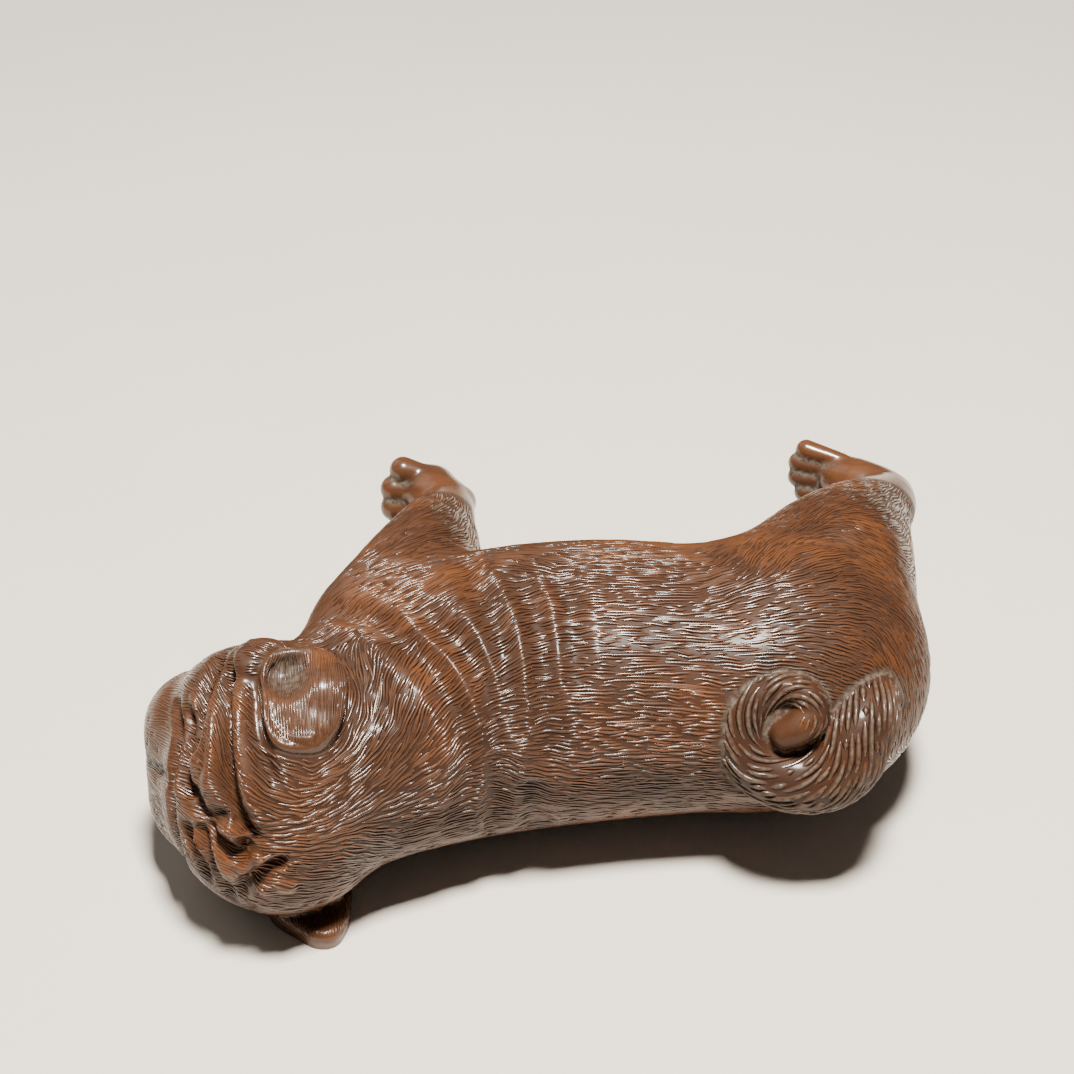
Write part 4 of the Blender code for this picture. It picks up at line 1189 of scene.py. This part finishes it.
class Skin:
    """The carved skin as faces that strokes can walk over, in laid-out millimetres."""

    def __init__(self, dog):
        mesh = dog.data
        points = to_laid_out(coordinates(mesh))
        count = len(mesh.polygons)
        corners = np.empty(count * 3, np.int32)
        mesh.polygons.foreach_get("vertices", corners)
        self.faces = corners.reshape(-1, 3)
        corner_points = points[self.faces]
        normals = np.cross(
            corner_points[:, 1] - corner_points[:, 0], corner_points[:, 2] - corner_points[:, 0]
        )
        at_points = np.zeros_like(points)
        for corner in range(3):
            np.add.at(at_points, self.faces[:, corner], normals)
        outward = at_points[self.faces].sum(axis=1)
        self.outward = outward / np.maximum(np.linalg.norm(outward, axis=1, keepdims=True), TINY)
        self.centres = corner_points.mean(axis=1)
        self.tree = BVHTree.FromPolygons(points.tolist(), self.faces.tolist())


class Strokes:
    """Evenly spaced strokes that follow a flow over the part of the skin that is open to them."""

    def __init__(self, skin, flow, open_faces, taken, gap, shortest, longest, draw):
        self.skin = skin
        self.flow = flow.tolist()
        self.outward = skin.outward.tolist()
        self.open_faces = open_faces.tolist()
        self.gap = gap
        self.shortest = shortest
        self.longest = longest
        self.draw = draw
        self.cells = taken
        self.laid = []

    def cell(self, place):
        return tuple(math.floor(part / CELL) for part in place)

    def is_free(self, place, spacing):
        across, along, up = self.cell(place)
        nearest = spacing * spacing
        for i in (across - 1, across, across + 1):
            for j in (along - 1, along, along + 1):
                for k in (up - 1, up, up + 1):
                    for other in self.cells.get((i, j, k), ()):
                        if (other - place).length_squared < nearest:
                            return False
        return True

    def run(self, place, face, way, reach):
        """Walks over the skin from a place until the stroke is long enough or meets another."""
        rows = []
        ahead = Vector(self.flow[face]) * way
        for _ in range(int(reach / STROKE_STEP)):
            place, _, face, _ = self.skin.tree.find_nearest(place + ahead * STROKE_STEP)
            if not self.open_faces[face] or not self.is_free(place, CLOSEST * self.gap):
                break
            turned = Vector(self.flow[face]) * way
            if turned.dot(ahead) < SHARPEST_TURN:
                break
            rows.append((place, face))
            ahead = turned
        return rows

    def lay(self, start):
        """Lays one stroke through the nearest place on the skin, if there is room for it."""
        place, _, face, _ = self.skin.tree.find_nearest(start)
        if place is None or not self.open_faces[face]:
            return None
        if not self.is_free(place, START_ROOM * self.gap):
            return None
        reach = self.draw.uniform(self.shortest, self.longest)
        behind = reach * self.draw.random()
        rows = self.run(place, face, -1.0, behind)[::-1]
        rows += [(place, face)] + self.run(place, face, 1.0, reach - behind)
        if (len(rows) - 1) * STROKE_STEP < STUB * self.shortest:
            return None
        for row_place, _ in rows:
            self.cells.setdefault(self.cell(row_place), []).append(row_place)
        self.laid.append(rows)
        return rows

    def spread(self, start):
        """Lays strokes side by side and end to end from a start, as far as they reach."""
        waiting = deque([self.lay(start)])
        while waiting:
            rows = waiting.popleft()
            if rows is None:
                continue
            for place, face in rows[1::2]:
                aside = Vector(self.outward[face]).cross(Vector(self.flow[face])) * self.gap
                waiting.append(self.lay(place + aside))
                waiting.append(self.lay(place - aside))
            for (place, face), way in ((rows[0], -1.0), (rows[-1], 1.0)):
                ahead = Vector(self.flow[face]) * way * self.gap * END_ROOM
                waiting.append(self.lay(place + ahead))

    def cover(self):
        order = [face for face, is_open in enumerate(self.open_faces) if is_open]
        self.draw.shuffle(order)
        for face in order[::START_STRIDE]:
            self.spread(Vector(self.skin.centres[face]))


def paths_of(strokes, girth_of, sink):
    """The laid strokes as one mesh of edges, with what the wood and the gouge need to know."""
    places, outwards, girths, edges = [], [], [], []
    for rows in strokes.laid:
        first = len(places)
        along = np.linspace(0.0, 1.0, len(rows))
        taper = np.sin(math.pi * (END_TAPER + (1.0 - 2.0 * END_TAPER) * along)) ** 0.5
        for (place, face), girth in zip(rows, taper):
            outward = Vector(strokes.outward[face])
            places.append(place - outward * sink * (1.0 - girth))
            outwards.append(outward)
            girths.append(girth)
        edges.extend((number, number + 1) for number in range(first, len(places) - 1))
    mesh = bpy.data.meshes.new("stroke_paths")
    laid_out = np.array(places)
    mesh.from_pydata(to_finished(laid_out).tolist(), edges, [])
    write_attribute(mesh, "girth", np.array(girths) * girth_of(laid_out))
    outward_data = mesh.attributes.new("outward", "FLOAT_VECTOR", "POINT").data
    outward_data.foreach_set("vector", np.array(outwards).ravel())
    return mesh


# Node trees


class Reading:
    """A socket in an expression. Arithmetic on it adds Math nodes."""

    def __init__(self, maker, socket):
        self.maker = maker
        self.socket = socket

    def math(self, operation, *others, clamp=False):
        settings = {"operation": operation, "use_clamp": clamp}
        values = dict(enumerate((self, *others)))
        return self.maker.node("ShaderNodeMath", settings, values)

    def __add__(self, other):
        return self.math("ADD", other)

    def __sub__(self, other):
        return self.math("SUBTRACT", other)

    def __rsub__(self, other):
        return self.maker.node("ShaderNodeMath", {"operation": "SUBTRACT"}, {0: other, 1: self})

    def __mul__(self, other):
        return self.math("MULTIPLY", other)

    def __pow__(self, other):
        return self.math("POWER", other)

    __radd__ = __add__
    __rmul__ = __mul__

    def clamped(self):
        return self.math("ADD", 0.0, clamp=True)

    def contrasted(self, gain, drop):
        return self * gain - drop


class TreeMaker:
    """Adds nodes to a tree by their type, settings and socket values or links."""

    def __init__(self, tree):
        self.tree = tree

    def node(self, kind, settings=None, sockets=None, output=0):
        made = self.tree.nodes.new(kind)
        for name, value in (settings or {}).items():
            setattr(made, name, value)
        for name, value in (sockets or {}).items():
            if isinstance(value, Reading):
                self.tree.links.new(value.socket, made.inputs[name])
            else:
                made.inputs[name].default_value = value
        return Reading(self, made.outputs[output]) if made.outputs else made

    def attribute(self, name):
        return self.node("ShaderNodeAttribute", {"attribute_name": name}, output="Fac")

    def mix(self, share, first, second):
        """A colour between two, by a share."""
        settings = {"data_type": "RGBA", "clamp_factor": True}
        return self.node("ShaderNodeMix", settings, {0: share, 6: first, 7: second}, output=2)

    def noise(self, place, scale, detail, roughness=0.5):
        sockets = {"Vector": place, "Scale": scale, "Detail": detail, "Roughness": roughness}
        return self.node("ShaderNodeTexNoise", None, sockets)

    def scaled(self, place, factors):
        return self.node("ShaderNodeVectorMath", {"operation": "MULTIPLY"}, {0: place, 1: factors})


def new_material(name):
    """A material without nodes, and the maker of its nodes."""
    material = bpy.data.materials.new(name)
    material.use_nodes = True
    material.node_tree.nodes.clear()
    return material, TreeMaker(material.node_tree)


def polished_wood():
    """Dark stained boxwood under wax: worn warm on its crests; darker with painted shade and
    gathered stain, dusty and dull in its hollows and between its strokes.
    """
    name = "polished_boxwood"
    if name in bpy.data.materials:
        return bpy.data.materials[name]
    wood = bpy.context.scene.pug_wood
    dark, light, worn, shade_and_stain, dust = (
        (*colour, 1.0)
        for colour in (wood.dark_stain, wood.light_stain, wood.worn, wood.shade_and_stain, wood.dust)
    )
    material, maker = new_material(name)
    place = maker.node("ShaderNodeTexCoord", output="Object")
    mm = maker.scaled(place, (1 / MM, 1 / MM, 1 / MM))
    along_grain = maker.scaled(mm, (GRAIN_STRETCH, 1.0, 1.0))
    streaks = maker.noise(along_grain, STREAKS, 3.0, 0.6)
    patches = maker.noise(mm, PATCHES, 2.0)
    specks = maker.noise(mm, SPECKS, 2.0)
    hollow = maker.attribute("hollow")
    crest = maker.attribute("crest")
    under_coat = maker.attribute("under_coat")
    stain = maker.mix(streaks.contrasted(*STREAK_CONTRAST), dark, light)
    in_patches = patches.contrasted(*PATCH_CONTRAST).clamped() * PATCH_WARMTH
    warm = (crest * CREST_WARMTH + in_patches).clamped()
    colour = maker.mix(warm * (LEAST_WORN + specks * WORN_SPECKS), stain, worn)
    # Painted shade, with the stain that gathers there, on the ground between strokes and the flanks
    # of the ridges
    colour = maker.mix(under_coat * GROUND_DARKNESS, colour, shade_and_stain)
    # Painted shade, with the stain that gathers in cuts, in the folds, the ear's hollow, beside the
    # tail and between the toes
    colour = maker.mix(hollow * HOLLOW_DARKNESS, colour, shade_and_stain)
    speckled = specks.contrasted(*DUST_CONTRAST).clamped()
    dusty = (hollow**2.0 * speckled * wood.dustiness).clamped()
    colour = maker.mix(dusty, colour, dust)
    rough = wood.roughness + streaks * STREAK_ROUGHNESS + hollow * HOLLOW_ROUGHNESS
    rough = rough + under_coat * GROUND_ROUGHNESS
    waxed = wood.wax * (1.0 - hollow * WAX_LOST_IN_HOLLOWS)
    grain = maker.noise(along_grain, GRAIN, 2.0)
    bump = maker.node(
        "ShaderNodeBump",
        None,
        {"Strength": GRAIN_STRENGTH, "Distance": GRAIN_DEPTH * MM, "Height": grain},
    )
    shader = maker.node(
        "ShaderNodeBsdfPrincipled",
        None,
        {
            "Base Color": colour,
            "Roughness": rough,
            "Coat Weight": waxed * (1.0 - under_coat * WAX_LOST_ON_GROUND),
            "Coat Roughness": WAX_ROUGHNESS,
            "Specular IOR Level": WOOD_GLOSS,
            "Normal": bump,
        },
    )
    maker.node("ShaderNodeOutputMaterial", None, {"Surface": shader})
    return material


def stroke_tree():
    """Turns paths into ridges with a crest, laid into the skin along its outward direction."""
    name = "gouge_ridges"
    if name in bpy.data.node_groups:
        return bpy.data.node_groups[name]
    tree = bpy.data.node_groups.new(name, "GeometryNodeTree")
    for socket, way, kind in (
        ("Paths", "INPUT", "Geometry"),
        ("Half width", "INPUT", "Float"),
        ("Crest height", "INPUT", "Float"),
        ("Sides", "INPUT", "Int"),
        ("Wood", "INPUT", "Material"),
        ("Ridges", "OUTPUT", "Geometry"),
    ):
        tree.interface.new_socket(socket, in_out=way, socket_type=f"NodeSocket{kind}")
    maker = TreeMaker(tree)
    given = tree.nodes.new("NodeGroupInput").outputs
    read = {socket.name: Reading(maker, socket) for socket in given if socket.name}
    outward = maker.node(
        "GeometryNodeInputNamedAttribute", {"data_type": "FLOAT_VECTOR"}, {"Name": "outward"}
    )
    girth = maker.node(
        "GeometryNodeInputNamedAttribute", {"data_type": "FLOAT"}, {"Name": "girth"}
    )
    curve = maker.node("GeometryNodeMeshToCurve", None, {"Mesh": read["Paths"]})
    curve = maker.node(
        "GeometryNodeSetCurveNormal", {"mode": "FREE"}, {"Curve": curve, "Normal": outward}
    )
    ring = maker.node(
        "GeometryNodeCurvePrimitiveCircle", None, {"Resolution": read["Sides"], "Radius": 1.0}
    )
    # Painted shade on the ridges, stored as under_coat: full down their flanks and under them, none
    # on the crest
    corner = maker.node("GeometryNodeInputPosition")
    out = maker.node("ShaderNodeSeparateXYZ", None, {0: corner})
    ring = maker.node(
        "GeometryNodeStoreNamedAttribute",
        {"data_type": "FLOAT", "domain": "POINT"},
        {"Geometry": ring, "Name": "under_coat", "Value": (1.0 - out).clamped()},
    )
    section = maker.node(
        "ShaderNodeCombineXYZ", None, {0: read["Crest height"], 1: read["Half width"], 2: 1.0}
    )
    ring = maker.node("GeometryNodeTransform", None, {"Geometry": ring, "Scale": section})
    ridges = maker.node(
        "GeometryNodeCurveToMesh",
        None,
        {"Curve": curve, "Profile Curve": ring, "Scale": girth, "Fill Caps": True},
    )
    ridges = maker.node("GeometryNodeSetShadeSmooth", None, {"Geometry": ridges})
    ridges = maker.node("GeometryNodeRealizeInstances", None, {"Geometry": ridges})
    ridges = maker.node(
        "GeometryNodeSetMaterial", None, {"Geometry": ridges, "Material": read["Wood"]}
    )
    maker.node("NodeGroupOutput", None, {0: ridges})
    return tree


# Pieces of ridges


def cut_ridges(name, paths, half_width, height, sides):
    """A piece of ridges, made from its paths by the node tree and turned to a plain mesh."""
    tree = stroke_tree()
    piece = bpy.data.objects.new(name, paths)
    bpy.context.scene.collection.objects.link(piece)
    modifier = piece.modifiers.new("ridges", "NODES")
    modifier.node_group = tree
    values = {
        "Half width": half_width,
        "Crest height": height,
        "Sides": sides,
        "Wood": polished_wood(),
    }
    for item in tree.interface.items_tree:
        if item.name in values:
            modifier[item.identifier] = values[item.name]
    apply_modifiers(piece)
    mesh = piece.data
    face_outwards(mesh)
    mark_shade_and_wear(mesh, to_laid_out(coordinates(mesh)))
    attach(piece, BODY)


def lay_strokes(name, skin, flow, open_faces, taken, girth_of, gap, height):
    """Lays strokes over part of the skin and turns them to a piece of ridges."""
    coat = bpy.context.scene.pug_coat
    draw = random.Random(f"{name} {coat.seed}")
    lengths = coat.shortest / MM, coat.longest / MM
    strokes = Strokes(skin, flow, open_faces, taken, gap / MM, *lengths, draw)
    strokes.cover()
    paths = paths_of(strokes, girth_of, END_SINK * height / MM)
    cut_ridges(name, paths, gap * RIDGE_SHARE, height, RIDGE_SIDES)


# The stage


def lay_table(stage):
    plane = bmesh.new()
    bmesh.ops.create_grid(plane, x_segments=2, y_segments=2, size=TABLE_HALF_WIDTH)
    mesh = bpy.data.meshes.new("table_top")
    plane.to_mesh(mesh)
    plane.free()
    table = bpy.data.objects.new("table_top", mesh)
    bpy.context.scene.collection.objects.link(table)
    material, maker = new_material("plain_table")
    place = maker.node("ShaderNodeTexCoord", output="Object")
    cloud = maker.noise(place, TABLE_CLOUDS, 3.0)
    pale = (*stage.floor_colour, 1.0)
    deeper = (*[part * CLOUD_SHADE for part in stage.floor_colour], 1.0)
    shader = maker.node(
        "ShaderNodeBsdfPrincipled",
        None,
        {"Base Color": maker.mix(cloud, pale, deeper), "Roughness": TABLE_ROUGHNESS},
    )
    maker.node("ShaderNodeOutputMaterial", None, {"Surface": shader})
    mesh.materials.append(material)


def hang_lights(stage):
    for name, place, size, power in (
        ("soft_lamp", LAMP_PLACE, stage.lamp_size, stage.lamp_power),
        ("window", WINDOW_PLACE, WINDOW_SIZE, stage.lamp_power * WINDOW_SHARE),
    ):
        lamp = bpy.data.lights.new(name, "AREA")
        lamp.shape = "SQUARE"
        lamp.size = size
        lamp.energy = power
        lamp.color = LAMP_COLOUR
        hung = bpy.data.objects.new(name, lamp)
        hung.location = place
        down = Vector(LAMP_AIM) - Vector(place)
        hung.rotation_euler = down.to_track_quat("-Z", "Y").to_euler()
        bpy.context.scene.collection.objects.link(hung)
    world = bpy.data.worlds.new("room")
    world.use_nodes = True
    background = world.node_tree.nodes["Background"]
    background.inputs["Color"].default_value = ROOM_COLOUR
    background.inputs["Strength"].default_value = stage.room_light
    bpy.context.scene.world = world


def aim_camera():
    camera = bpy.data.cameras.new("photograph_view")
    camera.sensor_width = SENSOR_WIDTH
    camera.lens = SENSOR_WIDTH * FOCAL_PIXELS / PHOTO_PIXELS
    camera.clip_start, camera.clip_end = CLIP_RANGE
    stand = bpy.data.objects.new("photograph_view", camera)
    stand.location = CAMERA_PLACE
    stand.rotation_euler = (math.radians(90.0 - CAMERA_PITCH), 0.0, 0.0)
    bpy.context.scene.collection.objects.link(stand)
    bpy.context.scene.camera = stand


# What a user can change

LENGTH = {"unit": "LENGTH", "precision": 5}
COLOUR = {"subtype": "COLOR", "min": 0.0, "max": 1.0}
SHARE = {"subtype": "FACTOR", "min": 0.0, "max": 1.0}


class PugCarving(bpy.types.PropertyGroup):
    fineness: FloatProperty(
        name="Fineness",
        description="Size of the smallest facet of the carved skin",
        default=0.27 * MM,
        min=0.2 * MM,
        **LENGTH,
    )
    fold_depth: FloatProperty(
        name="Fold depth",
        description="How deep the folds of the face are cut",
        default=1.3 * MM,
        **LENGTH,
    )
    fold_width: FloatProperty(
        name="Fold width",
        description="From the bottom of a face fold to where it fades",
        default=1.35 * MM,
        **LENGTH,
    )


class PugCoat(bpy.types.PropertyGroup):
    gap: FloatProperty(
        name="Stroke spacing",
        description="Least room from one stroke of the coat to the next",
        default=0.32 * MM,
        min=0.3 * MM,
        **LENGTH,
    )
    height: FloatProperty(
        name="Stroke height",
        description="How far the crest of a stroke stands above the skin",
        default=0.15 * MM,
        **LENGTH,
    )
    shortest: FloatProperty(
        name="Shortest stroke",
        description="Least length of a stroke that meets nothing",
        default=4.0 * MM,
        **LENGTH,
    )
    longest: FloatProperty(
        name="Longest stroke",
        description="Greatest length of a stroke",
        default=9.0 * MM,
        **LENGTH,
    )
    tail_gap: FloatProperty(
        name="Strand spacing",
        description="Least room from one strand of the tail to the next",
        default=0.62 * MM,
        min=0.4 * MM,
        **LENGTH,
    )
    tail_height: FloatProperty(
        name="Strand height",
        description="How far a strand of the tail stands above it",
        default=0.26 * MM,
        **LENGTH,
    )
    seed: IntProperty(
        name="Seed",
        description="Another seed shuffles the strokes",
        default=11,
        min=0,
    )


class PugWood(bpy.types.PropertyGroup):
    dark_stain: FloatVectorProperty(
        name="Dark stain",
        description="Colour of the densest streaks",
        default=(0.036, 0.015, 0.0075),
        **COLOUR,
    )
    light_stain: FloatVectorProperty(
        name="Light stain",
        description="Colour between the dense streaks",
        default=(0.090, 0.037, 0.0165),
        **COLOUR,
    )
    worn: FloatVectorProperty(
        name="Worn wood",
        description="Colour where handling has rubbed the stain thin",
        default=(0.205, 0.066, 0.016),
        **COLOUR,
    )
    # Painted shade, with the stain that gathers there, in the cuts, the hollows and between the
    # strokes
    shade_and_stain: FloatVectorProperty(
        name="Recess",
        description="Colour of the stain that gathers in cuts",
        default=(0.021, 0.0095, 0.0055),
        **COLOUR,
    )
    dust: FloatVectorProperty(
        name="Dust",
        description="Colour of the old dust and wax in the folds",
        default=(0.150, 0.125, 0.098),
        **COLOUR,
    )
    dustiness: FloatProperty(
        name="Dustiness",
        description="How much dust lies in the folds",
        default=0.75,
        **SHARE,
    )
    roughness: FloatProperty(
        name="Roughness",
        description="Roughness of the stained wood under its wax",
        default=0.29,
        **SHARE,
    )
    wax: FloatProperty(
        name="Wax",
        description="How much clear wax lies on the wood",
        default=1.0,
        **SHARE,
    )


class PugStage(bpy.types.PropertyGroup):
    floor_colour: FloatVectorProperty(
        name="Table colour",
        description="Colour of the plain table",
        default=(0.66, 0.615, 0.55),
        **COLOUR,
    )
    lamp_power: FloatProperty(
        name="Lamp power",
        description="Power of the soft lamp above the dog",
        default=7.6,
        min=0.0,
        unit="POWER",
    )
    lamp_size: FloatProperty(
        name="Lamp size",
        description="Width of the soft lamp",
        default=0.07,
        min=0.01,
        unit="LENGTH",
    )
    room_light: FloatProperty(
        name="Room light",
        description="Strength of the even light of the room",
        default=0.09,
        min=0.0,
    )


# Operators and the panel


class PUG_OT_carve(bpy.types.Operator):
    """Carve the skin of the dog at its full fineness, in place of its plain solid"""

    bl_idname = "pug.carve"
    bl_label = "Carve the Dog"

    def execute(self, context):
        carving = context.scene.pug_carving
        dog = carve_skin(carving.fineness / MM, carving.fold_depth / MM, carving.fold_width / MM)
        mesh = dog.data
        move_to(mesh, to_finished(coordinates(mesh)))
        face_outwards(mesh)
        mesh.shade_smooth()
        points = to_laid_out(coordinates(mesh))
        mark_shade_and_wear(mesh, points)
        # under_coat: painted shade, with gathered stain, on the ground between strokes
        write_attribute(mesh, "under_coat", stroke_share(points))
        mesh.materials.append(polished_wood())
        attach(dog, BODY)
        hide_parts(CARVED_BLOCK)
        return {"FINISHED"}


class PUG_OT_coat(bpy.types.Operator):
    """Lay the gouge strokes of the coat over the head and body"""

    bl_idname = "pug.coat"
    bl_label = "Lay the Coat"

    def execute(self, context):
        coat = context.scene.pug_coat
        skin = Skin(bpy.data.objects["dog_skin"])
        flow = coat_flow(skin.centres, skin.outward)
        covered = coat_share(skin.centres) > 0.5
        on_face = face_share(skin.centres) > 0.5
        ahead = skin.centres[:, 0] < SHOULDER_LINE
        taken = {}
        for name, part, gap, height in (
            ("coat_of_the_face", on_face, coat.gap * FACE_FINENESS, coat.height * FACE_HEIGHT),
            ("coat_of_the_head", ahead, coat.gap, coat.height),
            ("coat_of_the_body", ~on_face, coat.gap, coat.height),
        ):
            lay_strokes(name, skin, flow, covered & part, taken, coat_girth, gap, height)
        return {"FINISHED"}


class PUG_OT_tail(bpy.types.Operator):
    """Lay the bold strands of the tail and the fine strokes of the ears"""

    bl_idname = "pug.tail"
    bl_label = "Lay the Tail and Ear Strokes"

    def execute(self, context):
        coat = context.scene.pug_coat
        skin = Skin(bpy.data.objects["dog_skin"])
        from_tip = np.linalg.norm(skin.centres - tail_path()[-1, :3], axis=1)
        strands = (tail_share(skin.centres) > 0.5) & (from_tip > BARE_TIP)
        hairs = (ear_share(skin.centres) > WELL_INSIDE) & (skin.outward[:, 2] > 0.0)
        flow = tail_flow(skin.centres, skin.outward)
        tail_sizes = coat.tail_gap, coat.tail_height
        lay_strokes("strands_of_the_tail", skin, flow, strands, {}, strand_girth, *tail_sizes)
        flow = ear_flow(skin.centres, skin.outward)
        ear_sizes = coat.gap * EAR_FINENESS, coat.height * EAR_FINENESS
        lay_strokes("hair_of_the_ears", skin, flow, hairs, {}, ear_girth, *ear_sizes)
        return {"FINISHED"}


class PUG_OT_stage(bpy.types.Operator):
    """Set the plain table, the soft light and the camera"""

    bl_idname = "pug.stage"
    bl_label = "Set the Table and Light"

    def execute(self, context):
        stage = context.scene.pug_stage
        lay_table(stage)
        hang_lights(stage)
        aim_camera()
        return {"FINISHED"}


class PUG_PT_tools(bpy.types.Panel):
    """The pug's sizes, colours and tools"""

    bl_idname = "PUG_PT_tools"
    bl_label = "Carved Pug"
    bl_space_type = "VIEW_3D"
    bl_region_type = "UI"
    bl_category = "Carved Pug"

    def draw(self, context):
        layout = self.layout
        for group, tools in PANEL_ROWS:
            box = layout.box()
            settings = getattr(context.scene, group)
            for name in settings.__annotations__:
                box.prop(settings, name)
            for tool in tools:
                box.operator(tool)


PANEL_ROWS = (
    ("pug_carving", ("pug.carve",)),
    ("pug_coat", ("pug.coat", "pug.tail")),
    ("pug_wood", ()),
    ("pug_stage", ("pug.stage",)),
)
GROUPS = {
    "pug_carving": PugCarving,
    "pug_coat": PugCoat,
    "pug_wood": PugWood,
    "pug_stage": PugStage,
}
CLASSES = (*GROUPS.values(), PUG_OT_carve, PUG_OT_coat, PUG_OT_tail, PUG_OT_stage, PUG_PT_tools)


def register():
    for kind in CLASSES:
        bpy.utils.register_class(kind)
    for name, group in GROUPS.items():
        setattr(bpy.types.Scene, name, PointerProperty(type=group))


def unregister():
    for name in GROUPS:
        delattr(bpy.types.Scene, name)
    for kind in reversed(CLASSES):
        bpy.utils.unregister_class(kind)


def main():
    register()
    bpy.ops.pug.carve()
    bpy.ops.pug.coat()
    bpy.ops.pug.tail()
    bpy.ops.pug.stage()


if __name__ == "__main__":
    main()
